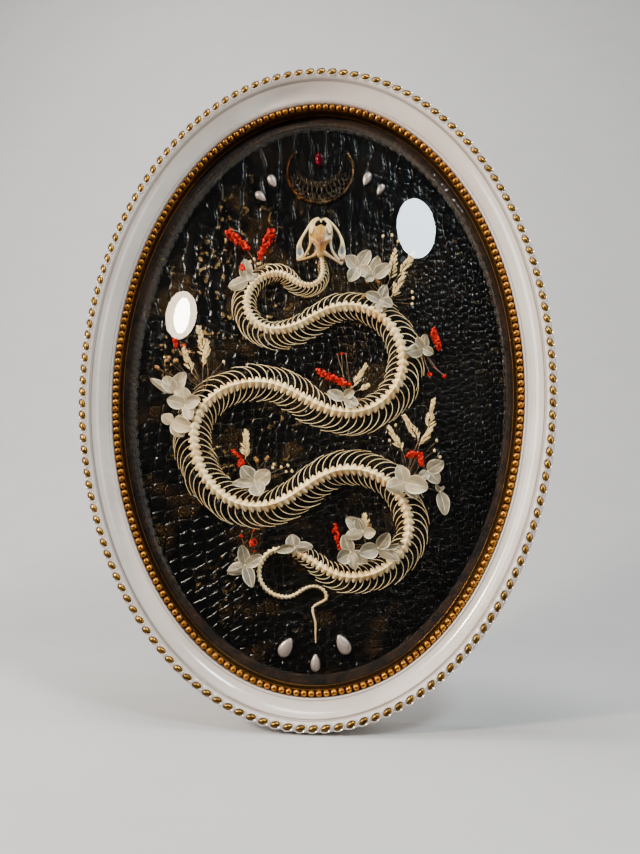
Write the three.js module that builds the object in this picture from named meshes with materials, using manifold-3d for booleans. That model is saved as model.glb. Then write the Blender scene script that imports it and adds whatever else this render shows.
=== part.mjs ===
// A snake skeleton mounted on embossed leather behind domed glass, in an oval cove frame.
// Millimetres. +Z is up, -Y is the front, and the wall is the plane Y = 0.
// X = Z = 0 is the centre of the oval.

import * as THREE from 'three';
import { mergeVertices } from 'three/addons/utils/BufferGeometryUtils.js';
import Module from 'manifold-3d';

const wasm = await Module();
wasm.setup();

// ---------------------------------------------------------------- driving dimensions

// The oval. Every ring keeps the same width all round, so it is stated as an inset from the rim.
const HALF_WIDTH = 162.5;
const HALF_HEIGHT = 228;
const STRETCH = HALF_HEIGHT - HALF_WIDTH;
const GAP = 0.3;
const RING_STEPS = 40;
const GLASS_STEPS = 28;

// Depths, as distances in front of the wall.
const RIM_FRONT = 36;
const BOARD_THICK = 6.5;
const LEATHER_BACK = BOARD_THICK + GAP;
const LEATHER_FRONT = LEATHER_BACK + 1.5;
const SPACER_FRONT = 12.4;
const GLASS_THICK = 2;
const GLASS_EDGE = SPACER_FRONT + GAP + GLASS_THICK;
const GLASS_RISE = 26;
const SLIP_BACK = GLASS_EDGE + GAP;

// Insets from the rim.
const REBATE = 13;
const SIGHT = 25.3;
const COVE_EDGE = 18.7;
const BEAD_MIDDLE = 21.2;

// The sunk keyhole plate that the frame hangs by.
const PLATE_WIDTH = 44;
const PLATE_HEIGHT = 16;
const PLATE_THICK = 1.5;
const PLATE_CENTRE = 150;
const SCREW_HEAD = 9;
const SCREW_SHANK = 4.6;

// The skeleton.
const HEAD_X = 3.4;
const NECK_Z = 97;
const TRUNK_END = 735;
const RIB_SWEEP = 1.2;
const RIB_ROOT_LIFT = 4.5;
const RIB_TIP_LIFT = 1.2;
const RIB_SEGMENTS = 3;
const BEND_SPREAD = 7;
const LENGTHS = [0, 60, 150, 235, 330, 427, 530, 637, TRUNK_END];

// ---------------------------------------------------------------- finishes

const material = (color, roughness, metalness = 0) =>
  new THREE.MeshStandardMaterial({ color, roughness, metalness });

const finishes = {
  whitePaint: material(0xe9e2da, 0.25),
  gilt: material(0xb9853a, 0.35, 0.9),
  glass: new THREE.MeshStandardMaterial({
    color: 0xdfe8ea,
    roughness: 0.05,
    transparent: true,
    opacity: 0.25,
  }),
  blackCard: material(0x14110f, 0.8),
  leather: material(0x17140f, 0.35),
  board: material(0x8a6f4c, 0.8),
  steel: material(0x9a9ca0, 0.4, 0.9),
  bone: material(0xe9dcc0, 0.55),
  dryPetals: material(0xd9d2c8, 0.7),
  pearl: material(0xf1ebe2, 0.2),
  brass: material(0x8c6a35, 0.4, 0.9),
  redGem: material(0xb01818, 0.1),
};

// ---------------------------------------------------------------- solids

// Shared vertices are merged and flat faces dropped, so that the body is closed.
function toSolid(geometry) {
  const bare = geometry.clone();
  bare.deleteAttribute('normal');
  bare.deleteAttribute('uv');
  const merged = mergeVertices(bare, 1e-4);
  const index = merged.index.array;
  const kept = [];
  for (let i = 0; i < index.length; i += 3) {
    const [a, b, c] = [index[i], index[i + 1], index[i + 2]];
    if (a !== b && b !== c && c !== a) kept.push(a, b, c);
  }
  if (signedVolume(merged.attributes.position, kept) < 0) kept.reverse();
  const triVerts = new Uint32Array(kept);
  const vertProperties = new Float32Array(merged.attributes.position.array);
  return new wasm.Manifold(new wasm.Mesh({ numProp: 3, vertProperties, triVerts }));
}

function signedVolume(position, index) {
  const [a, b, c] = [new THREE.Vector3(), new THREE.Vector3(), new THREE.Vector3()];
  let sum = 0;
  for (let i = 0; i < index.length; i += 3) {
    a.fromBufferAttribute(position, index[i]);
    b.fromBufferAttribute(position, index[i + 1]);
    c.fromBufferAttribute(position, index[i + 2]);
    sum += a.dot(b.cross(c));
  }
  return sum;
}

function toGeometry(solid) {
  const mesh = solid.getMesh();
  const geometry = new THREE.BufferGeometry();
  geometry.setAttribute('position', new THREE.BufferAttribute(mesh.vertProperties, 3));
  geometry.setIndex(new THREE.BufferAttribute(mesh.triVerts, 1));
  geometry.computeVertexNormals();
  return geometry;
}

// One body made of overlapping pieces, less the cut pieces.
function join(pieces, cuts = []) {
  const body = pieces.map(toSolid).reduce((sum, piece) => sum.add(piece));
  return toGeometry(cuts.map(toSolid).reduce((rest, cut) => rest.subtract(cut), body));
}

// A closed skin over rings of equal count, with a flat cap at each end.
function loft(rings) {
  const sides = rings[0].length;
  const points = rings.flat();
  const index = [];
  for (let r = 0; r + 1 < rings.length; r++) {
    for (let k = 0; k < sides; k++) {
      const a = r * sides + k;
      const b = r * sides + (k + 1) % sides;
      index.push(a, b, a + sides, b, b + sides, a + sides);
    }
  }
  const last = (rings.length - 1) * sides;
  for (let k = 1; k + 1 < sides; k++) {
    index.push(0, k + 1, k);
    index.push(last, last + k, last + k + 1);
  }
  const geometry = new THREE.BufferGeometry().setFromPoints(points);
  geometry.setIndex(index);
  return geometry;
}

// A bar along a chain of points: sections are [point, half width, half thickness], and the width
// is measured in the plane of the leather.
function bar(sections, sides) {
  const front = new THREE.Vector3(0, -1, 0);
  const rings = sections.map(([point, halfWidth, halfThick], i) => {
    const before = sections[Math.max(i - 1, 0)][0];
    const after = sections[Math.min(i + 1, sections.length - 1)][0];
    const along = after.clone().sub(before).normalize();
    const across = along.clone().cross(front).normalize();
    const raised = across.clone().cross(along);
    return Array.from({ length: sides }, (_, k) => {
      const angle = (2 * Math.PI * k) / sides + Math.PI / 2;
      return point.clone()
        .addScaledVector(across, halfWidth * Math.cos(angle))
        .addScaledVector(raised, halfThick * Math.sin(angle));
    });
  });
  return loft(rings);
}

// A place on the mounting: lift is the distance in front of the leather.
const at = (x, z, lift) => new THREE.Vector3(x, -(LEATHER_FRONT + lift), z);

// ---------------------------------------------------------------- the oval frame

// A turned profile, stretched to the oval: rings keep their width, and what lies inside the sight
// edge is scaled evenly.
function oval(profile, steps) {
  const points = profile.map(([inset, front]) => new THREE.Vector2(HALF_WIDTH - inset, -front));
  const turned = new THREE.LatheGeometry(points, steps);
  const position = turned.attributes.position;
  for (let i = 0; i < position.count; i++) {
    const x = position.getX(i);
    const z = position.getZ(i);
    const radius = Math.hypot(x, z);
    const share = Math.min(1, radius / (HALF_WIDTH - SIGHT));
    const sine = radius > 0 ? z / radius : 0;
    position.setZ(i, z + STRETCH * share * sine);
  }
  return toGeometry(toSolid(turned));
}

const closed = (profile) => [...profile, profile[0]];

// White painted moulding: rounded rim, a groove, and a cove that falls to the sight edge.
const moulding = () => oval(closed([
  [3, 0],
  [0, 20],
  [0, 33],
  [3.6, RIM_FRONT],
  [7, 34.4],
  [8, 32],
  [13, 25.8],
  [COVE_EDGE, 23.5],
  [COVE_EDGE, SLIP_BACK],
  [REBATE, SLIP_BACK],
  [REBATE, 0],
]), RING_STEPS);

// Gilt slip: a row of beads on its crown, and a lip that slopes back to the glass.
const slip = () => oval(closed([
  [COVE_EDGE + GAP, SLIP_BACK + GAP],
  [COVE_EDGE + GAP, 20.6],
  [BEAD_MIDDLE, 22.8],
  [23.2, 20.6],
  [SIGHT, SLIP_BACK + GAP],
]), RING_STEPS);

const spacer = () => oval(closed([
  [REBATE + 2 * GAP, LEATHER_FRONT + GAP],
  [REBATE + 2 * GAP, SPACER_FRONT],
  [SIGHT + 1, SPACER_FRONT],
  [SIGHT + 1, LEATHER_FRONT + GAP],
]), RING_STEPS);

const panel = (back, front) => oval([
  [HALF_WIDTH, front],
  [REBATE + 2 * GAP, front],
  [REBATE + 2 * GAP, back],
  [HALF_WIDTH, back],
], RING_STEPS);

// Domed glass: a shallow bowl on a flat flange.
function glass() {
  const base = HALF_WIDTH - SIGHT;
  const bowl = [0, 0.4, 0.72, 1];
  const face = (share, front) => [HALF_WIDTH - base * share, front + GLASS_RISE * (1 - share ** 2)];
  const outer = bowl.map((share) => face(share, GLASS_EDGE));
  const inner = bowl.map((share) => face(share, GLASS_EDGE - GLASS_THICK)).reverse();
  const flange = [[REBATE + 4 * GAP, GLASS_EDGE], [REBATE + 4 * GAP, GLASS_EDGE - GLASS_THICK]];
  return oval([...outer, ...flange, ...inner], GLASS_STEPS);
}

function box(width, depth, height, x, y, z) {
  return new THREE.BoxGeometry(width, depth, height).translate(x, y, z);
}

// The board is cut for the keyhole plate, with room behind it for the screw's head.
function backingBoard() {
  const pocketDepth = PLATE_THICK + GAP;
  const pocket = box(PLATE_WIDTH + 2 * GAP, 2 * pocketDepth, PLATE_HEIGHT + 2 * GAP, 0, 0, PLATE_CENTRE);
  const headRoom = box(PLATE_WIDTH / 2, 10, PLATE_HEIGHT - 3, 0, 0, PLATE_CENTRE);
  return join([panel(0, BOARD_THICK)], [pocket, headRoom]);
}

function keyholePlate() {
  const outline = new THREE.Shape();
  outline.moveTo(-PLATE_WIDTH / 2, -PLATE_HEIGHT / 2);
  outline.lineTo(PLATE_WIDTH / 2, -PLATE_HEIGHT / 2);
  outline.lineTo(PLATE_WIDTH / 2, PLATE_HEIGHT / 2);
  outline.lineTo(-PLATE_WIDTH / 2, PLATE_HEIGHT / 2);
  outline.closePath();
  const hole = new THREE.Path();
  const half = Math.asin(SCREW_SHANK / SCREW_HEAD);
  hole.absarc(0, -2.5, SCREW_HEAD / 2, Math.PI / 2 + half, Math.PI / 2 - half + 2 * Math.PI, false);
  hole.absarc(0, 4.2, SCREW_SHANK / 2, 0, Math.PI, false);
  hole.closePath();
  outline.holes.push(hole);
  const flat = new THREE.ExtrudeGeometry(outline, {
    depth: PLATE_THICK,
    bevelEnabled: false,
    curveSegments: 6,
  });
  flat.rotateX(Math.PI / 2).translate(0, 0, PLATE_CENTRE);
  return toGeometry(toSolid(flat));
}

// ---------------------------------------------------------------- the spine's route

// The route's turning points: where the spine runs straight down, left or right on its way from
// head to tail. Between two of them it is a quarter turn, or an S-bend if the heading is the same.
const DOWN = new THREE.Vector2(0, -1);
const LEFT = new THREE.Vector2(-1, 0);
const RIGHT = new THREE.Vector2(1, 0);
const TURNS = [
  [4, NECK_Z, DOWN],
  [5, 84, DOWN],
  [-5, 73.5, LEFT],
  [-28, 82.5, LEFT],
  [-49.5, 61.5, DOWN],
  [-28, 40.5, RIGHT],
  [23, 57, RIGHT],
  [62, 18, DOWN],
  [26, -19.5, LEFT],
  [-41, 2, LEFT],
  [-84.5, -34, DOWN],
  [-39, -85, RIGHT],
  [26, -59, RIGHT],
  [65.5, -97, DOWN],
  [27, -131.5, LEFT],
  [-22, -114, LEFT],
  [-36.5, -129.5, DOWN],
  [-18, -146, RIGHT],
  [1.5, -138.5, RIGHT],
  [10, -145.5, DOWN],
  [-0.5, -158, DOWN],
  [3, -176, DOWN],
];
const QUARTER_TURN = 0.5523;
const S_BEND = 0.42;

function spineRoute() {
  const route = new THREE.CurvePath();
  for (let i = 0; i + 1 < TURNS.length; i++) {
    const [x0, z0, heading0] = TURNS[i];
    const [x1, z1, heading1] = TURNS[i + 1];
    const start = new THREE.Vector2(x0, z0);
    const end = new THREE.Vector2(x1, z1);
    const step = end.clone().sub(start);
    const reach = heading0 === heading1 ? S_BEND : QUARTER_TURN;
    const leave = start.clone().addScaledVector(heading0, reach * Math.abs(step.dot(heading0)));
    const arrive = end.clone().addScaledVector(heading1, -reach * Math.abs(step.dot(heading1)));
    route.add(new THREE.CubicBezierCurve(start, leave, arrive, end));
  }
  return route;
}

const route = spineRoute();
const ROUTE_LENGTH = route.getLength();

// A place beside the spine: s is the distance along it from the skull, side is to the animal's
// left, and lift is above the leather.
function beside(s, side, lift) {
  const share = THREE.MathUtils.clamp(s / ROUTE_LENGTH, 0, 1);
  const middle = route.getPointAt(share);
  const along = route.getTangentAt(share);
  return at(middle.x + side * along.y, middle.y - side * along.x, lift);
}

// How fast the spine turns towards the animal's left, in radians for each millimetre.
function turning(s) {
  const step = 6;
  const before = route.getTangentAt(THREE.MathUtils.clamp((s - step) / ROUTE_LENGTH, 0, 1));
  const after = route.getTangentAt(THREE.MathUtils.clamp((s + step) / ROUTE_LENGTH, 0, 1));
  return (before.y * after.x - before.x * after.y) / (2 * step);
}

// ---------------------------------------------------------------- vertebrae and ribs

// Along the body: distance from the skull, half width of a vertebra, how far the ribs reach, and
// the length of one vertebra.
const BUILD = [
  [0, 2, 3.4, 3.4],
  [25, 2.3, 6, 3.6],
  [90, 3, 9.5, 4],
  [170, 3.1, 10.5, 4.5],
  [240, 3.3, 12.5, 4.8],
  [420, 3.5, 13.5, 4.9],
  [600, 3.3, 12, 4.7],
  [690, 2.9, 9.5, 4.4],
  [TRUNK_END, 2.4, 5, 4],
  [770, 1.7, 0, 3.4],
  [830, 1.2, 0, 2.8],
  [880, 0.5, 0, 2],
];
const [HALF, REACH, PITCH] = [1, 2, 3];

function build(s, column) {
  const next = Math.max(1, BUILD.findIndex((row) => row[0] >= s));
  const [low, high] = [BUILD[next - 1], BUILD[next]];
  return THREE.MathUtils.mapLinear(s, low[0], high[0], low[column], high[column]);
}

// One half of the column: a floor, a side that widens to the joints, and a ridge in the middle.
function columnSection(s, hand) {
  const half = build(s, HALF);
  const section = [[GAP / 2, 3], [0.6 * half, 3], [half, 5.8], [GAP / 2, 5.8 + half]];
  const ring = section.map(([side, lift]) => beside(s, hand * side, lift));
  return hand > 0 ? ring : ring.reverse();
}

// A rib springs from the vertebra, arches outwards and back, and comes down to the leather.
function rib(s, hand) {
  const root = 0.5 * build(s, HALF);
  const reach = build(s, REACH) * (1 - hand * BEND_SPREAD * turning(s)) - root;
  const sections = [];
  for (let i = 0; i <= RIB_SEGMENTS; i++) {
    const share = i / RIB_SEGMENTS;
    const angle = share * Math.PI / 2;
    const back = s + RIB_SWEEP * reach * (1 - Math.cos(angle));
    const lift = RIB_TIP_LIFT + (RIB_ROOT_LIFT - RIB_TIP_LIFT) * Math.cos(angle);
    const thick = THREE.MathUtils.lerp(0.85, 0.5, share);
    sections.push([beside(back, hand * (root + reach * Math.sin(angle)), lift), thick, thick]);
  }
  return bar(sections, 3);
}

// The places of every second vertebra between two distances from the skull.
function stations(from, to) {
  const places = [];
  for (let s = 0; s < to; s += 2 * build(s, PITCH)) {
    if (s > from) places.push(s);
  }
  return places;
}

// One side of one length of the trunk: its half of the column, and its ribs. The column's
// sections lie a little ahead of the ribs, so that a rib springs from the flat of one face.
function trunkSide(from, to, hand) {
  const places = stations(from + 1.5, to - 1.5);
  const between = places.slice(1).map((s, i) => THREE.MathUtils.lerp(s, places[i], 0.22));
  const ends = [from + GAP / 2, ...between, to - GAP / 2];
  const column = loft(ends.map((s) => columnSection(s, hand)));
  return join([column, ...places.map((s) => rib(s, hand))]);
}

function tail() {
  const rings = [];
  for (let s = TRUNK_END + GAP / 2; s < ROUTE_LENGTH; s += 2 * build(s, PITCH)) rings.push(s);
  rings.push(ROUTE_LENGTH);
  return toGeometry(toSolid(loft(rings.map((s) => {
    const half = build(s, HALF);
    const middle = 2.2 + half;
    return [[0, -1], [1, -0.3], [0.45, 0.9], [-0.45, 0.9], [-1, -0.3]]
      .map(([side, lift]) => beside(s, side * half, middle + lift * half));
  }))));
}

// ---------------------------------------------------------------- skull and jaws

// A point of the skull: forward of the neck joint, to the animal's left, above the leather.
const head = (forward, side, lift) => at(HEAD_X - side, NECK_Z + forward, lift);

// The skull from occiput to snout: forward, half width, underside, crown.
const SKULL = [
  [0.4, 3.2, 3.9, 8.4],
  [4, 3.6, 3.7, 9.8],
  [9.5, 4, 3.6, 10.4],
  [12, 7.4, 3.6, 9.6],
  [18, 7.8, 3.6, 9.2],
  [23.5, 7, 3.6, 8.2],
  [27, 4.6, 3.7, 7],
  [29.4, 2.2, 4, 5.6],
];

function skullCase() {
  return loft(SKULL.map(([forward, half, low, high]) => {
    const middle = (low + high) / 2;
    return [[0.55, low], [1, middle], [0.5, high], [-0.5, high], [-1, middle], [-0.55, low]]
      .map(([side, lift]) => head(forward, side * half, lift));
  }));
}

// The suspension of the jaws on one side: the bar out to the jaw joint, and the palate's bar.
function jawBars(hand, joint, palateEnd) {
  const hanger = bar([
    [head(2.5, hand * 2.4, 7), 1.3, 1.2],
    [head(0, hand * 7, 6.2), 1, 0.9],
    [head(joint[0], hand * joint[1], 4.6), 1.2, 0.8],
  ], 5);
  const palate = bar([
    [head(13, hand * 6.4, 5.2), 1, 0.9],
    [head(8, hand * 8, 4.9), 0.9, 0.8],
    [head(palateEnd[0], hand * palateEnd[1], 4.7), 0.8, 0.7],
  ], 5);
  return [hanger, palate];
}

function skull() {
  const nostril = (side) => new THREE.CylinderGeometry(1.3, 1.3, 3, 6)
    .translate(HEAD_X - side, -(LEATHER_FRONT + 8), NECK_Z + 25.6);
  const bars = [...jawBars(1, [-4, 16.4], [0.5, 13]), ...jawBars(-1, [-6.2, 15.4], [0.5, 12.6])];
  return join([skullCase(), ...bars], [nostril(2.1), nostril(-2.1)]);
}

// One lower jaw: a slender rod that bows outwards, deepens to a blade and ends at the joint.
function jaw(course) {
  const middle = 1.8;
  return toGeometry(toSolid(bar(course.map(([forward, side, half]) =>
    [head(forward, side, middle), half, Math.min(1.3, 0.6 + half / 2)]), 6)));
}

const leftJaw = () => jaw([
  [27.4, 3.4, 0.7],
  [23, 8, 1.1],
  [15, 12.6, 1.2],
  [9, 15.3, 1.4],
  [3, 16.4, 2.5],
  [-1, 17.2, 2],
  [-5, 16.9, 0.9],
]);

const rightJaw = () => jaw([
  [27.4, -3.4, 0.7],
  [23, -7.6, 1.1],
  [14, -12.6, 1.2],
  [6, -16.6, 1.5],
  [1, -17, 2.5],
  [-4, -17, 2],
  [-8.8, -16.2, 0.9],
]);

// ---------------------------------------------------------------- dried flowers

// A petal lies flat at its lift, from the flower's middle outwards.
function petal([x, z, length, turn], lift) {
  return new THREE.CylinderGeometry(1, 1, 0.8, 5)
    .scale(length / 2, 1, length / 2.7)
    .rotateY(-THREE.MathUtils.degToRad(turn))
    .translate(x, -(LEATHER_FRONT + lift), z);
}

// A head of berries, buds or florets, long in the direction it grows.
function cluster([x, z, length, width, turn], lift) {
  return new THREE.OctahedronGeometry(1)
    .scale(length / 2, 1.6, width / 2)
    .rotateY(-THREE.MathUtils.degToRad(turn))
    .translate(x, -(LEATHER_FRONT + lift), z);
}

// A posy: every petal and head is tied by a stalk to the knot, which stands on the leather.
function posy({ knot, lift, petals, heads }) {
  const tie = at(knot[0], knot[1], lift);
  const stem = new THREE.CylinderGeometry(1.3, 1.3, lift, 4)
    .translate(knot[0], -(LEATHER_FRONT + GAP + lift / 2), knot[1]);
  const stalks = [...petals, ...heads]
    .filter(([x, z, length]) => Math.hypot(x - knot[0], z - knot[1]) > 0.35 * length)
    .map(([x, z]) => bar([[tie, 0.5, 0.4], [at(x, z, lift), 0.5, 0.4]], 3));
  const leaves = petals.map((row) => petal(row, lift));
  return join([stem, ...stalks, ...leaves, ...heads.map((row) => cluster(row, lift))]);
}

// Petals are [x, z, length, turn]; heads are [x, z, length, width, turn]; turns in degrees.
const POSIES = {
  upper_left: {
    knot: [-51, 92],
    lift: 6,
    petals: [[-54, 87, 14, 70], [-59, 78, 13, 20]],
    heads: [[-58, 110, 17, 9, 130], [-38, 107, 20, 9, 70], [-43, 95, 8, 6, 60]],
  },
  beside_head: {
    knot: [40, 84],
    lift: 6,
    petals: [[27, 88, 14, 100], [36, 92, 15, 90], [46, 90, 15, 80], [44, 68, 13, 60]],
    heads: [[62, 98, 18, 8, 60], [60, 74, 14, 6, 20]],
  },
  right_flank: {
    knot: [79, 27],
    lift: 6,
    petals: [[74, 24, 13, 20], [81, 33, 11, 60], [85, 24, 9, 100]],
    heads: [[87, 33, 15, 7, 80], [84, 9, 8, 6, 0]],
  },
  upper_loop: {
    knot: [21, 2],
    lift: 9.5,
    petals: [[16, -4, 13, 10], [26, -9, 12, 130]],
    heads: [[10, 7, 18, 8, 150], [33, 9, 12, 6, 55]],
  },
  left_flank: {
    knot: [-97, -9],
    lift: 9,
    petals: [[-108, 4, 17, 30], [-97, 3, 14, 60], [-95, -11, 16, 120], [-104, -23, 14, 70]],
    heads: [[-100, 33, 14, 6, 100], [-81, 36, 20, 6, 70], [-88, 18, 16, 6, 80]],
  },
  left_loop: {
    knot: [-41, -62],
    lift: 6,
    petals: [[-49, -61, 12, 160], [-36, -63, 11, 50], [-40, -71, 13, 100]],
    heads: [[-48, -42, 16, 8, 75], [-52, -51, 10, 6, 120], [-26, -57, 12, 6, 30]],
  },
  right_flank_low: {
    knot: [69, -62],
    lift: 11,
    petals: [[56, -71, 14, 70], [70, -71, 16, 150], [81, -61, 15, 20], [89, -83, 12, 100]],
    heads: [[70, -51, 13, 10, 90], [62, -36, 15, 6, 110], [82, -20, 19, 8, 60]],
  },
  lower_loop: {
    knot: [36, -110],
    lift: 9.5,
    petals: [[28, -97, 14, 60], [29, -106, 14, 10], [42, -114, 14, 30], [50, -107, 12, 120],
      [56, -117, 15, 150], [27, -121, 14, 60]],
    heads: [[16, -106, 16, 6, 100], [38, -96, 9, 5, 80]],
  },
  lower_left: {
    knot: [-49, -122],
    lift: 8,
    petals: [[-49, -114, 11, 95], [-54, -126, 13, 40], [-44, -130, 12, 110], [-41, -121, 11, 10]],
    heads: [[-42, -104, 9, 6, 95]],
  },
  tail_root: {
    knot: [-12, -104.5],
    lift: 9,
    petals: [[-14, -109, 10, 45], [-8, -110, 10, 150]],
    heads: [],
  },
};

// ---------------------------------------------------------------- jewels

// A teardrop cabochon with its point turned to the given angle from +X.
function teardrop(length, width, thick, x, z, turn) {
  const profile = [[0, -0.5], [0.38, -0.4], [0.5, -0.18], [0.3, 0.2], [0, 0.5]]
    .map(([radius, along]) => new THREE.Vector2(radius, along));
  const drop = new THREE.LatheGeometry(profile, 6)
    .scale(width, length, thick)
    .rotateZ(-Math.PI / 2)
    .rotateX(Math.PI / 2)
    .rotateY(-THREE.MathUtils.degToRad(turn))
    .translate(x, -(LEATHER_FRONT + GAP + thick / 2), z);
  return toGeometry(toSolid(drop));
}

// Pearls are [name, x, z, length, width, direction of the point in degrees].
const PEARLS = [
  ['pearl_top_left_1', -33.4, 155, 10.5, 6.5, 130],
  ['pearl_top_left_2', -41.8, 143, 11.5, 6.5, 140],
  ['pearl_top_right_1', 36.5, 154.5, 10.5, 6.5, 50],
  ['pearl_top_right_2', 46.5, 146, 10, 6, 40],
  ['pearl_bottom_left', -17.2, -179.5, 14, 9, 60],
  ['pearl_bottom_middle', 2.9, -189, 11.5, 6.8, 90],
  ['pearl_bottom_right', 21.5, -176.5, 14, 9, 120],
];

const CRESCENT = { x: 1.6, z: 163.6, radius: 25, innerX: 1, innerZ: 171.5, innerRadius: 15.3 };

function crescent() {
  const { x, z, radius, innerX, innerZ, innerRadius } = CRESCENT;
  const horn = THREE.MathUtils.degToRad(37);
  const innerHorn = THREE.MathUtils.degToRad(27);
  const outline = new THREE.Shape();
  outline.absarc(x, z, radius, horn, Math.PI - horn, true);
  outline.absarc(innerX, innerZ, innerRadius, Math.PI - innerHorn, innerHorn, false);
  outline.closePath();
  const flat = new THREE.ExtrudeGeometry(outline, { depth: 2, bevelEnabled: false, curveSegments: 8 });
  flat.rotateX(Math.PI / 2).translate(0, -(LEATHER_FRONT + GAP), 0);
  return toGeometry(toSolid(flat));
}

// ---------------------------------------------------------------- the whole

const group = new THREE.Group();

function add(name, geometry, finish) {
  const mesh = new THREE.Mesh(geometry, finishes[finish].clone());
  mesh.name = name;
  group.add(mesh);
}

add('frame_moulding', moulding(), 'whitePaint');
add('bead_slip', slip(), 'gilt');
add('glass_dome', glass(), 'glass');
add('spacer_ring', spacer(), 'blackCard');
add('leather_panel', panel(LEATHER_BACK, LEATHER_FRONT), 'leather');
add('backing_board', backingBoard(), 'board');
add('keyhole_plate', keyholePlate(), 'steel');

add('skull', skull(), 'bone');
add('jaw_left', leftJaw(), 'bone');
add('jaw_right', rightJaw(), 'bone');
for (let i = 0; i + 1 < LENGTHS.length; i++) {
  const part = i === 0 ? 'neck' : `trunk_${i}`;
  add(`${part}_left`, trunkSide(LENGTHS[i], LENGTHS[i + 1], 1), 'bone');
  add(`${part}_right`, trunkSide(LENGTHS[i], LENGTHS[i + 1], -1), 'bone');
}
add('tail', tail(), 'bone');

for (const [name, recipe] of Object.entries(POSIES)) {
  add(`posy_${name}`, posy(recipe), 'dryPetals');
}
for (const [name, x, z, length, width, turn] of PEARLS) {
  add(name, teardrop(length, width, 4.4, x, z, turn), 'pearl');
}
add('crescent', crescent(), 'brass');
add('gem', teardrop(10, 7, 3.6, 1.4, 172.3, 270), 'redGem');

export default group;
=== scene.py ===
import bpy
import numpy as np
from mathutils import Matrix, Vector


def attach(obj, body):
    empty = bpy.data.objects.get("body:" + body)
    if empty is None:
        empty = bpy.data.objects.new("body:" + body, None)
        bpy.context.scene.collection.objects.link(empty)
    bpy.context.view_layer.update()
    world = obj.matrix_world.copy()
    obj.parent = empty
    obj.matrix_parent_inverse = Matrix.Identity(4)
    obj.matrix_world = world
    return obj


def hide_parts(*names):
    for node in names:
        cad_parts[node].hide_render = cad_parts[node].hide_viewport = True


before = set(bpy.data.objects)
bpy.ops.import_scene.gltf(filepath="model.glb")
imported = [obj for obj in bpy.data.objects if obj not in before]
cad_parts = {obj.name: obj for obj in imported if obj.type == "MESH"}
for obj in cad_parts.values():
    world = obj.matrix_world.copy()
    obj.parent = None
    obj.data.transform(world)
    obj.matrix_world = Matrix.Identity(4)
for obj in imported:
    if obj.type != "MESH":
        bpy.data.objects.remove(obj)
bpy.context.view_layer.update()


# ---- Camera, floor and lamps. The frame stands on a pale paper sweep that curls up behind it.
# Oval lamps in front glint in the glass, a white one within a cream one at the left and a blue one
# at the right. Broad soft ones stand above and beside the frame, out of the glass's reach.

FLOOR_LEVEL = -0.2285
CAMERA_PLACE = Vector((0.0423, -0.4805, -0.0893))
CAMERA_RIGHT = Vector((0.99676, 0.07958, 0.01156))
CAMERA_DOWN = Vector((0.00131, 0.12758, -0.99183))
CAMERA_FORWARD = Vector((-0.08040, 0.98863, 0.12706))
LENS, SENSOR_WIDTH, CLIP_START = 28.45, 36, 0.01


def new_finish(name):
    """A material with its own tree, and the tree's Principled shader."""
    material = bpy.data.materials.new(name)
    material.use_nodes = True
    return material, material.node_tree, material.node_tree.nodes["Principled BSDF"]


def rgb(hexcode):
    """A colour from its six-digit hex code, in linear light."""
    share = np.array([int(hexcode[i:i + 2], 16) for i in (0, 2, 4)]) / 255
    linear = np.where(share < 0.04045, share / 12.92, ((share + 0.055) / 1.055) ** 2.4)
    return (*linear.tolist(), 1.0)


def give(tree, socket, value):
    """Links a socket to the one it is given, or sets it to a number, a vector or a hex colour."""
    if isinstance(value, bpy.types.NodeSocket):
        tree.links.new(value, socket)
    else:
        socket.default_value = rgb(value) if isinstance(value, str) else value


def node(tree, kind, inputs=None, **settings):
    """A shader node. Settings are its own properties; inputs go to its sockets."""
    made = tree.nodes.new("ShaderNode" + kind)
    for key, value in settings.items():
        setattr(made, key, value)
    for key, value in (inputs or {}).items():
        give(tree, made.inputs[key], value)
    return made


def feed(tree, shader, **sources):
    """Sets or links the shader's sockets, whose names are written with underscores."""
    for key, value in sources.items():
        give(tree, shader.inputs[key.replace("_", " ")], value)


def ramp(tree, value, low=0.0, high=1.0, start=0.0, end=1.0):
    """A value brought from between low and high to between start and end, and held there."""
    return node(tree, "MapRange", {"Value": value, "From Min": low, "From Max": high,
                                   "To Min": start, "To Max": end}).outputs["Result"]


def soft_lamp(name, place, target, size, watts, colour):
    """An oval soft lamp at a place, turned to face its target."""
    lamp = bpy.data.lights.new(name, "AREA")
    lamp.shape = "ELLIPSE"
    lamp.size, lamp.size_y = size
    lamp.energy = watts
    lamp.color = colour
    holder = bpy.data.objects.new(name, lamp)
    holder.location = place
    aim = Vector(target) - Vector(place)
    holder.rotation_euler = aim.to_track_quat("-Z", "Y").to_euler()
    holder.visible_transmission = False
    bpy.context.scene.collection.objects.link(holder)


camera_data = bpy.data.cameras.new("camera")
camera_data.lens = LENS
camera_data.sensor_width = SENSOR_WIDTH
camera_data.clip_start = CLIP_START
camera = bpy.data.objects.new("camera", camera_data)
camera.matrix_world = Matrix.Translation(CAMERA_PLACE) @ Matrix(
    (CAMERA_RIGHT, -CAMERA_DOWN, -CAMERA_FORWARD)
).transposed().to_4x4()
bpy.context.scene.collection.objects.link(camera)
bpy.context.scene.camera = camera

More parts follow.
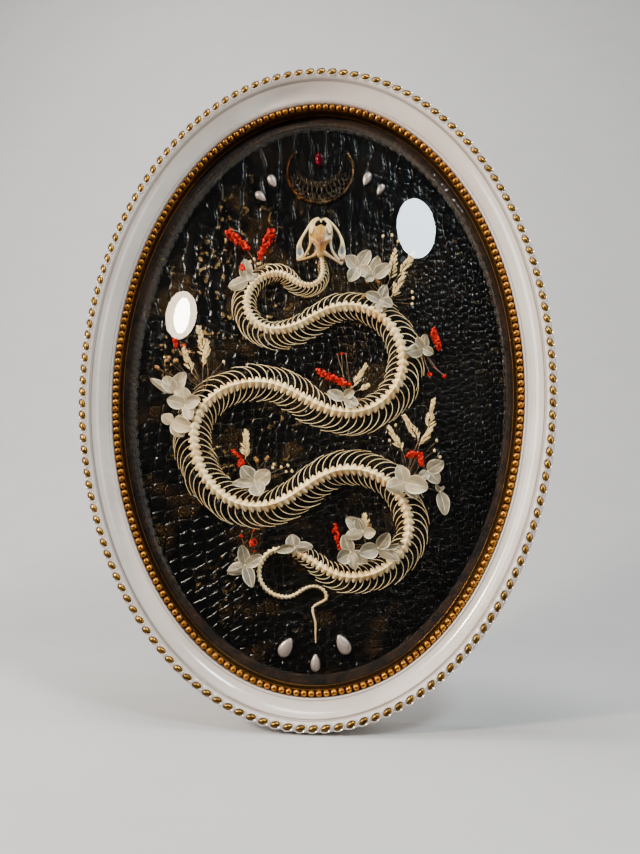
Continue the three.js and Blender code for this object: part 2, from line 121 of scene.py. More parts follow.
soft_lamp("window_left", (-0.84, -0.72, 0.46), (-0.09, 0, 0.05), (0.2, 0.19), 5, (1, 0.8, 0.56))
soft_lamp("lamp_left", (-0.82, -0.71, 0.45), (-0.09, 0, 0.05), (0.1, 0.14), 9, (1, 0.9, 0.78))
soft_lamp("window_right", (0.48, -0.78, 0.79), (0.07, 0, 0.11), (0.22, 0.25), 9, (0.78, 0.92, 1))
soft_lamp("soft_top", (-0.15, -0.16, 1.3), (0, 0, 0), (1.2, 0.34), 15, (1, 0.97, 0.94))
soft_lamp("soft_left", (-1.15, -0.28, 0.25), (0, 0, 0), (0.5, 0.9), 11, (0.95, 0.97, 1))
soft_lamp("soft_right", (1.15, -0.25, 0.1), (0, 0, 0), (0.5, 0.9), 5, (1, 0.94, 0.88))

world = bpy.data.worlds.new("studio")
world.use_nodes = True
world.node_tree.nodes["Background"].inputs["Color"].default_value = (0.78, 0.8, 0.84, 1)
world.node_tree.nodes["Background"].inputs["Strength"].default_value = 0.02
bpy.context.scene.world = world

MILLIMETRE = 0.001


def summed(steps):
    """The sums of the steps so far, from 0."""
    return np.concatenate([[0], np.cumsum(steps)])


def joined(*parts):
    """Arrays spread over one grid and stacked in a last axis, as coordinates or as corners."""
    return np.stack(np.broadcast_arrays(*parts), -1)


def enclosed(points, faces):
    """The volume inside closed faces: six times it is the sum, over the triangles of each face's
    fan, of the first corner's dot product with the cross product of the other two. It is negative
    where the faces look inward."""
    total = 0.0
    for part in faces:
        first, second, third = points[part[:, :1]], points[part[:, 1:-1]], points[part[:, 2:]]
        total += (first * np.cross(second, third)).sum()
    return total / 6


def make_piece(name, points, faces, finish, slot=None, stands_for=(), crease=50, marks=None):
    """A mesh object at the origin. Points are millimetres in the row's frame. Faces is a list of
    arrays, each with rows of point numbers, and all turned over if they look inward. Marks are
    numbers kept at each point, by name."""
    points = np.asarray(points, float).reshape(-1, 3) * MILLIMETRE
    mesh = bpy.data.meshes.new(name)
    mesh.vertices.add(len(points))
    mesh.vertices.foreach_set("co", points.ravel())
    if slot is not None and enclosed(points, faces) < 0:
        faces = [part[:, ::-1] for part in faces]
    corners = np.concatenate([part.ravel() for part in faces])
    sides = np.concatenate([np.full(len(part), part.shape[1]) for part in faces])
    mesh.loops.add(len(corners))
    mesh.loops.foreach_set("vertex_index", corners)
    mesh.polygons.add(len(sides))
    mesh.polygons.foreach_set("loop_start", summed(sides)[:-1])
    for key, values in (marks or {}).items():
        mark = mesh.attributes.new(key, "FLOAT", "POINT")
        mark.data.foreach_set("value", np.asarray(values, np.float32).ravel())
    mesh.update(calc_edges=True)
    mesh.validate()
    mesh.polygons.foreach_set("use_smooth", np.ones(len(sides), bool))
    mesh.set_sharp_from_angle(angle=np.radians(crease))
    mesh.materials.append(finish)
    piece = bpy.data.objects.new(name, mesh)
    bpy.context.scene.collection.objects.link(piece)
    if slot is None:
        return piece
    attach(piece, "root")
    if stands_for:
        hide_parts(*stands_for)
    return piece


def grid_faces(rows, columns, round_rows=False, round_columns=False):
    """Four-sided faces over a grid of points, closed round either way where asked."""
    across = np.arange(columns if round_columns else columns - 1)
    down = np.arange(rows if round_rows else rows - 1)[:, None]
    right, below = (across + 1) % columns, (down + 1) % rows
    return joined(down * columns + across, down * columns + right,
                  below * columns + right, below * columns + across).reshape(-1, 4)


PAPER_HALF_WIDTH, PAPER_AHEAD, PAPER_TOP = 3000, 1500, 2600
BEND_BEHIND, BEND_RADIUS = 300, 500
paper, tree, shader = new_finish("studio_paper")
fibre = node(tree, "TexNoise", {"Scale": 90.0, "Detail": 3.0})
feed(tree, shader, Base_Color=ramp(tree, fibre.outputs["Fac"], 0, 1, 0.58, 0.64), Roughness=0.9)
along = np.linspace(-2.2, 1, 60)
bend = np.clip(along, 0, 1) * np.pi / 2
sweep_y = BEND_BEHIND + np.where(along < 0, PAPER_AHEAD * along, BEND_RADIUS * np.sin(bend))
sweep_z = FLOOR_LEVEL / MILLIMETRE + BEND_RADIUS * (1 - np.cos(bend))
sweep_y, sweep_z = np.append(sweep_y, sweep_y[-1]), np.append(sweep_z, PAPER_TOP)
sweep = joined(PAPER_HALF_WIDTH * np.array([-1, 0, 1]), sweep_y[:, None], sweep_z[:, None])
backdrop = make_piece("paper_sweep", sweep, [grid_faces(len(sweep_y), 3)[:, ::-1]], paper)
backdrop.visible_glossy = False
backdrop.visible_transmission = False


# ---- The moulding: turned and stretched to an oval, gessoed and painted a glossy warm white.
# Its rim carries a run of almond-shaped gilt eggs in raised sockets, and a cove falls from it to
# the sight edge.

HALF_WIDTH = 162.5
STRETCH = 65.5
SIGHT = 25.3
EGGS = 150
RING_COLUMNS = 240
EGG_INSET, EGG_FRONT, EGG_SLANT = 3.9, 35.65, np.radians(16)
EGG_HALVES = (3.1, 1.75, 1.5)
SOCKET_FRONT, SOCKET_HALVES, SOCKET_STEPS = 35.55, (3.75, 2.45), 14
WALL_HALVES, WALL_STEPS = (0.6, 0.55, 1.15), 5
SPACING_INSET = 3.4
POLE_TILT = 0.13
rng = np.random.default_rng(7)


def oval(inset, front, angle):
    """A point on the oval. The radius is the half width less the inset, and the height is stretched
    by 65.5 mm for all that lies outside the sight edge, and evenly inside it."""
    inset, front, angle = np.broadcast_arrays(inset, front, angle)
    radius = HALF_WIDTH - inset
    share = np.clip(radius / (HALF_WIDTH - SIGHT), 0, 1)
    return np.stack([radius * np.cos(angle), -front,
                     (radius + STRETCH * share) * np.sin(angle)], -1)


def even_angles(inset, count):
    """Angles at which points on the ring at that inset stand evenly along its length."""
    fine = np.linspace(0, 2 * np.pi, 4001)
    length = summed(np.linalg.norm(np.diff(oval(inset, 0, fine), axis=0), axis=1))
    return np.interp(np.arange(count) / count * length[-1], length, fine)


def smooth_profile(corners, steps):
    """A profile through corner points, by a spline that passes through each of them."""
    corners = np.asarray(corners, float)
    ends = np.concatenate([[2 * corners[0] - corners[1]], corners, [2 * corners[-1] - corners[-2]]])
    p0, p1, p2, p3 = (ends[i:len(corners) - 1 + i, None] for i in range(4))
    t = np.linspace(0, 1, steps, endpoint=False)[None, :, None]
    curve = 0.5 * (2 * p1 + (p2 - p0) * t + (2 * p0 - 5 * p1 + 4 * p2 - p3) * t**2
                   + (3 * p1 - p0 - 3 * p2 + p3) * t**3)
    return np.concatenate([curve.reshape(-1, corners.shape[1]), corners[-1:]])


def full_turn(count):
    """Angles evenly round a circle."""
    return np.linspace(0, 2 * np.pi, count, endpoint=False)


def turned_ring(name, profile, finish, slot, stands_for=(), crease=40, marks=None):
    """A closed profile of inset and front, carried once round the oval."""
    profile = np.asarray(profile, float)
    points = oval(profile[:, :1], profile[:, 1:], full_turn(RING_COLUMNS))
    faces = grid_faces(len(profile), RING_COLUMNS, True, True)
    spread = {key: np.repeat(values, RING_COLUMNS) for key, values in (marks or {}).items()}
    make_piece(name, points, [faces], finish, slot, stands_for, crease, spread)


def unit(vectors):
    """Directions one long."""
    return vectors / np.linalg.norm(vectors, axis=-1, keepdims=True)


def ring_frames(inset, front, angle, turn=0.0):
    """At points of the oval: place, and the three directions along the rim, across it and outward
    from the surface, turned in that surface by an angle."""
    step = 1e-3
    along = unit(oval(inset, front, angle + step) - oval(inset, front, angle - step))
    raised = np.broadcast_to([0.0, -1.0, 0.0], along.shape)
    turned = along * np.cos(turn) + np.cross(raised, along) * np.sin(turn)
    return oval(inset, front, angle), np.stack([turned, np.cross(raised, turned), raised], -2)


def copied(kinds, size, count):
    """Faces of several kinds on a shape of that size, renumbered for each of its copies."""
    shift = np.arange(count)[:, None, None] * size
    return [(part[None] + shift).reshape(-1, part.shape[1]) for part in kinds]


def repeat(shape, kinds, places, frames, sizes):
    """The shape once at every place. Each copy is scaled along its own three axes, then turned."""
    count = len(places)
    sized = shape[None] * np.broadcast_to(sizes, (count, 3))[:, None]
    points = np.einsum("kni,kij->knj", sized, np.broadcast_to(frames, (count, 3, 3)))
    return (points + places[:, None]).reshape(-1, 3), copied(kinds, len(shape), count)


def tube_faces(rows, columns):
    """The four-sided faces of a tube made of rings of points, and the face that closes each end."""
    ring = np.arange(columns)
    return [grid_faces(rows, columns, False, True),
            np.stack([ring[::-1], (rows - 1) * columns + ring])]


def ball(rows, columns):
    """A unit ball: rings of points from pole to pole, where a small flat face closes each end."""
    tilt = np.linspace(POLE_TILT, np.pi - POLE_TILT, rows)[:, None]
    turn = full_turn(columns)
    points = joined(np.sin(tilt) * np.cos(turn), np.sin(tilt) * np.sin(turn), np.cos(tilt))
    return points.reshape(-1, 3), tube_faces(rows, columns)


def noise(tree, scale, detail):
    """Cloudy noise on the piece's own coordinates."""
    place = node(tree, "TexCoord").outputs["Object"]
    made = node(tree, "TexNoise", {"Vector": place, "Scale": scale, "Detail": detail})
    return made.outputs["Fac"]


def mixed(tree, factor, first, second, **settings):
    """Two colours mixed: the first where the factor is 0, and the second where it is 1."""
    return node(tree, "Mix", {"Factor": factor, "A": first, "B": second}, data_type="RGBA",
                **settings).outputs["Result"]


def tone_group(name):
    """Two colours mixed by cloudy noise, with the noise's two edges as inputs. It puts out the
    colour, and the mask that mixed it."""
    group = bpy.data.node_groups.new(name, "ShaderNodeTree")
    for way, socket, kind in (
            ("INPUT", "Light", "Color"), ("INPUT", "Dark", "Color"), ("INPUT", "Scale", "Float"),
            ("INPUT", "Low", "Float"), ("INPUT", "High", "Float"),
            ("OUTPUT", "Color", "Color"), ("OUTPUT", "Mask", "Float")):
        group.interface.new_socket(socket, in_out=way, socket_type="NodeSocket" + kind)
    given = group.nodes.new("NodeGroupInput").outputs
    result = group.nodes.new("NodeGroupOutput").inputs
    mask = ramp(group, noise(group, given["Scale"], 6.0), given["Low"], given["High"])
    group.links.new(mixed(group, mask, given["Light"], given["Dark"]), result["Color"])
    group.links.new(mask, result["Mask"])
    return group


clouded = tone_group("clouded_tone")


def cloud_of(tree, light, dark, scale, low=0.4, high=0.65):
    """The clouded tone group placed in a tree, with its own two colours and scale."""
    return node(tree, "Group", {"Light": light, "Dark": dark, "Scale": scale, "Low": low,
                                "High": high}, node_tree=clouded).outputs


def fine_bump(tree, scale, height):
    """A Bump node on noise of a scale, with its height in metres."""
    return node(tree, "Bump", {"Height": noise(tree, scale, 4.0), "Distance": height,
                               "Strength": 1.0}).outputs["Normal"]


def mark_of(tree, name):
    """A mark that a piece keeps at its points."""
    return node(tree, "Attribute", {}, attribute_name=name).outputs["Fac"]


# Shade is painted on the white in brown, by a mark that each piece keeps at its points.
white_paint, tree, shader = new_finish("white_gloss_paint")
tone = cloud_of(tree, "e0d4ca", "cdbfb3", 22.0, 0.45, 0.75)["Color"]
feed(tree, shader, Base_Color=mixed(tree, mark_of(tree, "painted_shade"), tone, "5f4836"), Roughness=0.2,
     Coat_Weight=0.5, Coat_Roughness=0.06, Normal=fine_bump(tree, 160.0, 0.00004))


def gilt(name, leaf, worn):
    """Gold leaf over clay, worn to the clay in clouds. Shade is painted on it in dark brown where
    the hollow shade mark is 1.
    """
    material, tree, shader = new_finish(name)
    tone = cloud_of(tree, leaf, worn, 260.0, 0.42, 0.72)
    feed(tree, shader, Base_Color=mixed(tree, mark_of(tree, "hollow_shade"), tone["Color"], "150b05"),
         Metallic=0.92, Roughness=ramp(tree, tone["Mask"], 0, 1, 0.28, 0.46),
         Normal=fine_bump(tree, 500.0, 0.00002))
    return material


gilding = gilt("aged_gilding", "cf8c32", "8a4f1a")
ochre_gilding = gilt("ochre_gilding", "c8953c", "5a3815")

outer = smooth_profile([(2.6, 0), (0.7, 5), (0, 14), (0, 29), (0.5, 33), (2, 35.3), (4, 36),
                        (6, 35.3), (7.1, 33.9)], 4)
groove = [(7.35, 32.9), (7.6, 32.2), (8.0, 31.9), (8.4, 32.1)]
cove = smooth_profile([(8.6, 31.8), (9.8, 29.3), (11.6, 27), (13.8, 25.2), (16, 24.1),
                       (17.6, 23.6)], 5)
sight_bead = smooth_profile([(17.75, 23.75), (18.1, 24.0), (18.5, 23.9), (18.7, 23.4)], 3)
back = [(18.7, 19), (18.7, 15), (13, 15), (13, 0)]
moulding_profile = np.concatenate([outer, groove, cove, sight_bead, back])
# Shade is painted in the groove and where the cove meets the sight bead.
moulding_painted_shade = np.interp(np.arange(len(moulding_profile)), len(outer) + np.array(
    [-3, -1, 0, 3, 4, 6, len(cove) + 1, len(cove) + 4, len(cove) + 12]),
    [0, 0.12, 0.5, 0.6, 0.3, 0, 0, 0.45, 0])
turned_ring("moulding", moulding_profile, white_paint, "white_paint", ["frame_moulding"],
            marks={"painted_shade": moulding_painted_shade})

egg_angle = even_angles(SPACING_INSET, EGGS)
place, axes = ring_frames(EGG_INSET, EGG_FRONT, egg_angle, EGG_SLANT)
shape, kinds = ball(5, 10)
shape = shape[:, [2, 0, 1]]
# The eggs have shade painted low down, where they sit on the moulding.
make_piece("rim_eggs", *repeat(shape, kinds, place, axes, EGG_HALVES), ochre_gilding, "gilt",
           crease=60, marks={"hollow_shade": np.tile(np.clip(0.55 - shape[:, 2], 0, 1), EGGS)})

# A socket is an oval ring of wall round its egg, with shade painted on its inner side.
long_turn, wall_turn = full_turn(SOCKET_STEPS)[:, None], full_turn(WALL_STEPS)
socket = joined((SOCKET_HALVES[0] + WALL_HALVES[0] * np.cos(wall_turn)) * np.cos(long_turn),
                (SOCKET_HALVES[1] + WALL_HALVES[1] * np.cos(wall_turn)) * np.sin(long_turn),
                WALL_HALVES[2] * np.sin(wall_turn)).reshape(-1, 3)
socket_faces = [grid_faces(SOCKET_STEPS, WALL_STEPS, True, True)]
socket_painted_shade = np.tile(np.clip(0.3 - 1.1 * np.cos(wall_turn), 0, 0.9), SOCKET_STEPS * EGGS)
place, axes = ring_frames(EGG_INSET, SOCKET_FRONT, egg_angle, EGG_SLANT)
make_piece("rim_sockets", *repeat(socket, socket_faces, place, axes, 1.0), white_paint,
           "white_paint", marks={"painted_shade": socket_painted_shade})


# ---- The slip: a narrow gilt ring inside the moulding. A string of 221 pressed beads lies in its
# channel, and a lip slopes from them to the glass. Shade is painted on the gilding, heavy in the
# channel and over the lip, lighter on the ridge and at the lip's edge.

BEADS = 221
BEAD_RADIUS, BEAD_INSET, BEAD_FRONT = 2.25, 21.3, 20.65
slip_profile = [(19, 15.3), (19, 19.4), (19.3, 20.1), (19.8, 19.8), (20.6, 19.2), (21.3, 19.1),
                (22.2, 19.4), (22.9, 20.1), (23.4, 20.2), (23.8, 19.6), (24.4, 17.9), (24.9, 16.6),
                (25.3, 16.1), (25.3, 15.3)]
# How much shade is painted on the slip at each point of its profile.
slip_shade = [1, 1, 0.8, 0.9, 1, 1, 0.95, 0.9, 0.55, 0.9, 0.96, 0.96, 0.6, 0.95]
turned_ring("slip", slip_profile, gilding, "gilt", ["bead_slip"], 35, {"hollow_shade": slip_shade})

place, axes = ring_frames(BEAD_INSET, BEAD_FRONT, even_angles(BEAD_INSET, BEADS))
shape, kinds = ball(8, 12)
shape = shape[:, [2, 0, 1]]
# Shade is painted on each bead's underside and at its ends, where it meets its neighbours.
bead_shade = np.clip(0.35 - shape[:, 2], 0, 1) + 0.5 * np.clip(np.abs(shape[:, 0]) - 0.8, 0, 1)
make_piece("slip_beads", *repeat(shape, kinds, place, axes, BEAD_RADIUS), gilding, "gilt",
           crease=70, marks={"hollow_shade": np.tile(np.clip(bead_shade, 0, 1), BEADS)})


# ---- The glass: one sheet, 2 mm thick, slumped to a shallow dome with a flat flange that the slip
# holds down on the spacer.

GLASS_FRONT, GLASS_RISE, GLASS_THICK = 14.7, 26, 2
GLASS_COLUMNS = 96


def glass_profile(front):
    """From the crown out to the flange: the rise falls with the square of the share of the way."""
    share = np.linspace(0.004, 1, 26)
    reach = HALF_WIDTH - SIGHT
    bowl = np.stack([HALF_WIDTH - reach * share, front + GLASS_RISE * (1 - share**2)], -1)
    return np.concatenate([bowl, [(19, front), (14.2, front)]])


clear_glass, tree, shader = new_finish("clear_glass")
feed(tree, shader, Base_Color=(0.98, 1, 0.99, 1), Roughness=0.0, IOR=1.45, Transmission_Weight=1.0)
see_through = node(tree, "BsdfTransparent", {"Color": (0.96, 0.97, 0.97, 1)})
rays = node(tree, "LightPath")
let_light = node(tree, "MixShader", {"Fac": rays.outputs["Is Shadow Ray"]})
tree.links.new(shader.outputs[0], let_light.inputs[1])
tree.links.new(see_through.outputs[0], let_light.inputs[2])
tree.links.new(let_light.outputs[0], tree.nodes["Material Output"].inputs["Surface"])

inside = glass_profile(GLASS_FRONT - GLASS_THICK)[::-1]
profile = np.concatenate([glass_profile(GLASS_FRONT), inside])
points = oval(profile[:, :1], profile[:, 1:], full_turn(GLASS_COLUMNS))
make_piece("glass", points, tube_faces(*points.shape[:2]), clear_glass, "clear_glass",
           ["glass_dome"], crease=60)


# ---- The spacer: a ring of thin black-brown card under the glass, which keeps it off the leather.

def clouded_finish(name, light, dark, scale, low, high, grain, depth, **settings):
    """A finish in two tones that change in clouds, with a fine grain."""
    material, tree, shader = new_finish(name)
    feed(tree, shader, Base_Color=cloud_of(tree, light, dark, scale, low, high)["Color"],
         Normal=fine_bump(tree, grain, depth), **settings)
    return material


black_card = clouded_finish("black_card", "24150b", "0b0603", 130.0, 0.42, 0.6, 420.0, 0.0003,
                            Roughness=0.7, Specular_IOR_Level=0.15)
turned_ring("spacer", [(13.6, 8.6), (13.6, 12.4), (28.6, 12.4), (29.3, 12.0), (29.3, 8.6)],
            black_card, "black_card", ["spacer_ring"])


# ---- The leather: black calf stretched over the panel and pressed with a crocodile's scales. Dull
# gold foil is rubbed on the crowns of some of them.

LEATHER_FRONT, PANEL_BACK, PANEL_INSET = 8.3, 6.8, 13.6
COLUMNS_OF_SCALES, ROWS_OF_SCALES = 60, 72
ACROSS = np.array([0, 0.09, 0.21, 0.79, 0.91])
DOWN = np.array([0, 0.09, 0.21, 0.5, 0.79, 0.91])
PRESSED = 1.0
SETTLED = 0.2
NET_PITCH = 0.0034


def pillow(share, steep):
    """0 in the furrow at either end of a scale, rising steeply to 1 over its crown."""
    return np.clip(1 - np.abs(2 * share - 1) ** steep, 0, 1)


def wander(x, z):
    """How far the furrows stray: slow waves that bend whole files of scales, and quick ones that
    make each scale a little different."""
    slow_x = 3.2 * np.sin(z / 27 + 1.1) + 2.2 * np.sin(x / 31 + z / 41)
    slow_z = 2.6 * np.sin(x / 29 + 0.6) + 1.6 * np.sin(z / 35 - x / 52)
    quick_x = 0.8 * np.sin(z / 3.4 + np.sin(x / 4.3) * 2) + 0.55 * np.sin(x / 2.3 + z / 3.7)
    quick_z = 0.5 * np.sin(x / 3.9 + np.sin(z / 5.1) * 2) + 0.4 * np.sin(z / 2.6 - x / 4.1)
    return slow_x + quick_x, slow_z + quick_z


# The furrows between the files of scales run on, and the cross furrows are staggered from file to
# file. The scales are largest at the left and smallest at the right. Towards the top the cross
# furrows are faint.
fine_x = np.linspace(-170, 170, 2001)
file_width = np.interp(fine_x, [-150, -80, -30, 60, 150], [10.5, 9.2, 6.4, 4.7, 3.7])
files_passed = summed(np.diff(fine_x) / file_width[1:])
files_passed -= files_passed[-1] / 2
u = (np.arange(COLUMNS_OF_SCALES)[:, None] + ACROSS).ravel() - COLUMNS_OF_SCALES / 2
v = (np.arange(ROWS_OF_SCALES)[:, None] + DOWN).ravel() - ROWS_OF_SCALES / 2
file_number = np.floor(u + 1e-9).astype(int)
file_shift = rng.random(COLUMNS_OF_SCALES)[file_number + COLUMNS_OF_SCALES // 2]
file_shift = np.where(np.isclose(u, file_number), 0.5 * (file_shift + np.roll(file_shift, 1)),
                      file_shift)
flat_x = np.broadcast_to(np.interp(u, files_passed, fine_x), (len(v), len(u)))
flat_z = (v[:, None] + file_shift - 0.5) * np.interp(flat_x, [-130, -50, 140], [10, 6.9, 5.2])
shift_x, shift_z = wander(flat_x, flat_z)
scale_x, scale_z = flat_x + shift_x, flat_z + shift_z
across, down = np.broadcast_arrays((u - file_number)[None],
                                   (v - np.floor(v + 1e-9))[:, None])
faded = np.interp(scale_z, [70, 130], [0, 0.8])
steep = np.interp(scale_x, [-120, 40], [10, 7])
merged = np.where(file_number % 2 == 1, across < 0.5, across >= 0.5)
merged = merged * np.interp(scale_z, [80, 125], [0, 0.9])
crown = ((1 - (1 - pillow(across, steep)) * (1 - merged))
         * (1 - (1 - pillow(down, steep)) * (1 - faded)))
scale_tone = rng.random((ROWS_OF_SCALES, COLUMNS_OF_SCALES))
scale_tone = np.repeat(np.repeat(scale_tone, len(DOWN), 0), len(ACROSS), 1)

reach_x = HALF_WIDTH - PANEL_INSET
outward = np.hypot(scale_x / reach_x, scale_z / (reach_x + STRETCH))
held = np.minimum(1, 1 / np.maximum(outward, 1e-6))
scale_x, scale_z = scale_x * held, scale_z * held
ripple = 0.12 * np.sin(scale_x / 5.3 + scale_z / 8.1) + 0.22 * (scale_tone - 0.5)
lift = LEATHER_FRONT - PRESSED * (1 - crown) + ripple * crown - SETTLED
lift = np.where(outward >= 1, LEATHER_FRONT - PRESSED, lift)


def used_only(count, *kinds):
    """Of so many points, the numbers of those that the faces use, and the faces renumbered."""
    used = np.unique(np.concatenate([part.ravel() for part in kinds]))
    renumber = np.full(count, -1)
    renumber[used] = np.arange(len(used))
    return (used, *(renumber[part] for part in kinds))


beyond = (outward >= 1).ravel()
faces = grid_faces(*scale_x.shape)
kept, faces = used_only(scale_x.size, faces[~beyond[faces].all(1)])
points = np.stack([scale_x, -lift, scale_z], -1).reshape(-1, 3)[kept]

# The edge of the sheet is where a side of a face has no other face. It is turned down to the
# board behind, and closed there.
sides = np.stack([faces, np.roll(faces, -1, axis=1)], -1).reshape(-1, 2)
_, which, times = np.unique(np.sort(sides, axis=1), axis=0, return_inverse=True,
                            return_counts=True)
start, end = sides[times[which.ravel()] == 1].T
count = len(points)
skirt = np.stack([end, start, start + count, end + count], -1)
lid = np.stack([end + count, start + count, np.full(len(start), 2 * count)], -1)
points = np.concatenate([points, points * (1, 0, 1) - (0, PANEL_BACK, 0), [[0, -PANEL_BACK, 0]]])
used, faces, skirt, lid = used_only(len(points), faces, skirt, lid)
crown, scale_tone = (np.concatenate([part.ravel()[kept], np.zeros(count + 1)])[used]
                     for part in (crown, scale_tone))


def maths(tree, operation, *values):
    """A Math node on numbers or sockets."""
    return node(tree, "Math", dict(enumerate(values)), operation=operation).outputs[0]


def place_of(tree):
    """The piece's own coordinates, one by one."""
    return node(tree, "SeparateXYZ", {"Vector": node(tree, "TexCoord").outputs["Object"]}).outputs


def netting(tree, place, pitch):
    """A mask of lozenges, dark along two crossing families of slanting lines: the smaller of the
    absolute sines of x + z and x - z over the pitch."""
    waves = []
    for operation in ("ADD", "SUBTRACT"):
        slant = maths(tree, operation, place["X"], place["Z"])
        wave = maths(tree, "SINE", maths(tree, "MULTIPLY", slant, np.pi / pitch))
        waves.append(maths(tree, "ABSOLUTE", wave))
    return ramp(tree, maths(tree, "MINIMUM", *waves), 0.2, 0.55)


# The foil is left in patches on the crowns of some scales, mostly at the left and in the middle.
# Under it the leather is printed with a brown netting.
leather_finish, tree, shader = new_finish("pressed_black_leather")
place = place_of(tree)
on_crown = ramp(tree, mark_of(tree, "crown"), 0.2, 0.7)
below_top = ramp(tree, place["Z"], 0.15, 0.09, 0.15, 1)
foil = ramp(tree, noise(tree, 26.0, 2.0), 0.5, 0.62)
for mask in (ramp(tree, place["X"], 0.02, -0.08, 0.08, 1), ramp(tree, place["Z"], -0.16, 0, 0.2, 1),
             below_top, ramp(tree, noise(tree, 240.0, 4.0), 0.54, 0.62), on_crown,
             ramp(tree, mark_of(tree, "scale_tone"), 0.4, 0.8)):
    foil = maths(tree, "MULTIPLY", foil, mask)
netted = netting(tree, place, NET_PITCH)
for mask in (ramp(tree, noise(tree, 34.0, 1.0), 0.56, 0.64, 0, 0.65), on_crown,
             ramp(tree, place["X"], 0.085, 0.05), below_top):
    netted = maths(tree, "MULTIPLY", netted, mask)
black = cloud_of(tree, "050404", "020202", 45.0)["Color"]
tone = mixed(tree, foil, mixed(tree, netted, black, "3e2b13"), "b08a4e")
feed(tree, shader, Base_Color=tone, Roughness=ramp(tree, foil, 0, 1, 0.11, 0.4),
     Metallic=maths(tree, "MULTIPLY", foil, 0.7), Specular_IOR_Level=0.9, Coat_Weight=0.6,
     Coat_Roughness=0.08, Normal=fine_bump(tree, 800.0, 0.000015))

make_piece("leather", points[used], [faces, skirt, lid], leather_finish, "black_leather",
           ["leather_panel"], crease=80, marks={"crown": crown, "scale_tone": scale_tone})


# ---- The bones: a young snake's skeleton, cleaned and bleached to ivory, and glued down by its
# ribs. The vertebrae lock into one another, and each carries a pair of slender curved ribs.

# Where the spine turns: its x and z, and its heading.
TURNS = np.array([
    (4, 97, 0, -1), (5, 84, 0, -1), (-5, 73.5, -1, 0), (-28, 82.5, -1, 0), (-49.5, 61.5, 0, -1),
    (-28, 40.5, 1, 0), (23, 57, 1, 0), (62, 18, 0, -1), (26, -19.5, -1, 0), (-41, 2, -1, 0),
    (-84.5, -34, 0, -1), (-39, -85, 1, 0), (26, -59, 1, 0), (65.5, -97, 0, -1),
    (27, -131.5, -1, 0), (-22, -114, -1, 0), (-36.5, -129.5, 0, -1), (-18, -146, 1, 0),
    (1.5, -138.5, 1, 0), (10, -145.5, 0, -1), (0.6, -153.6, 0, -1),
    (2.7, -164.5, 0, -1), (2.9, -176, 0, -1)])
# Rows of distance along the spine, a vertebra's half width, its ribs' reach, and its pitch.
BODY = np.array([
    (0, 1.5, 3.2, 2.1), (25, 1.8, 5.2, 2.5), (90, 2.8, 9.5, 3.7), (170, 3.1, 10.5, 4.5),
    (240, 3.3, 12.5, 4.8), (420, 3.5, 13.5, 4.9), (600, 3.3, 12, 4.7), (690, 3.0, 9.5, 4.4),
    (735, 2.2, 5, 3.7), (770, 1.5, 0, 3.0), (820, 1.0, 0, 2.4), (850, 0.7, 0, 2.0),
    (868, 0.3, 0, 1.7)])
LENGTHS = [0, 60, 150, 235, 330, 427, 530, 637, 735]
HALF, REACH, PITCH = 1, 2, 3
RIB_STEPS, RIB_SIDES = 9, 5
RIB_PLACE, RIB_ROOT, RIB_BEND, RIB_SWEEP = 0.3, 0.55, 1.52, 1.2
RIB_TIP_LIFT, RIB_RISE = 1.0, 4.2
SPREAD_ON_BENDS = 7
SKULL_OVERHANG = 0.5
UNDERSIDE_LIFT = 3.2
TAIL_SETTLES, TAIL_LOWER = [735, 790], 1.2


def spine_route():
    """The spine's line: cubic curves from turn to turn, with handles along the headings, 0.5523 of
    the way on a quarter turn and 0.42 on an S-bend. It gives distance, place and heading."""
    start, end = TURNS[:-1], TURNS[1:]
    heading0, heading1 = start[:, 2:], end[:, 2:]
    step = end[:, :2] - start[:, :2]
    same = (heading0 == heading1).all(1)
    handle = np.where(same, 0.42, 0.5523)[:, None]
    leave = start[:, :2] + heading0 * handle * np.abs((step * heading0).sum(1, keepdims=True))
    arrive = end[:, :2] - heading1 * handle * np.abs((step * heading1).sum(1, keepdims=True))
    t = np.linspace(0, 1, 200, endpoint=False)[None, :, None]
    p0, p1, p2, p3 = start[:, None, :2], leave[:, None], arrive[:, None], end[:, None, :2]
    line = (1 - t)**3 * p0 + 3 * (1 - t)**2 * t * p1 + 3 * (1 - t) * t**2 * p2 + t**3 * p3
    line = np.concatenate([line.reshape(-1, 2), end[-1:, :2]])
    gone = summed(np.linalg.norm(np.diff(line, axis=0), axis=1))
    return gone, line, unit(np.gradient(line, gone, axis=0))


GONE, LINE, HEADING = spine_route()
ROUTE_LENGTH = GONE[-1]


def beside(s, side, lift):
    """A point at a distance s along the spine, to the animal's left by side, above the leather by
    lift. Past the ends the line goes straight on."""
    s, side, lift = np.broadcast_arrays(s, side, lift)
    x, z, ahead_x, ahead_z = (np.interp(s, GONE, values) for values in (*LINE.T, *HEADING.T))
    past = s - np.clip(s, 0, ROUTE_LENGTH)
    return np.stack([x + past * ahead_x + side * ahead_z, -(LEATHER_FRONT + lift),
                     z + past * ahead_z - side * ahead_x], -1)


def turning(s):
    """How fast the spine turns to the animal's left, in radians to the millimetre."""
    step = 6
    before, after = (np.stack([np.interp(s + shift, GONE, part) for part in HEADING.T], -1)
                     for shift in (-step, step))
    return (before[..., 1] * after[..., 0] - before[..., 0] * after[..., 1]) / (2 * step)


def body(s, column):
    """A size of the body at a distance along the spine, by straight lines between the rows."""
    return np.interp(s, BODY[:, 0], BODY[:, column])


along = np.linspace(0, ROUTE_LENGTH, 4000)
counted = summed(np.diff(along) / body(along[:-1], PITCH))
JOINTS = np.interp(np.arange(int(counted[-1]) + 1), counted, along)

bone, tree, shader = new_finish("ivory_bone")
tone = cloud_of(tree, "ffe1a8", "dda45c", 75.0, 0.44, 0.8)["Color"]
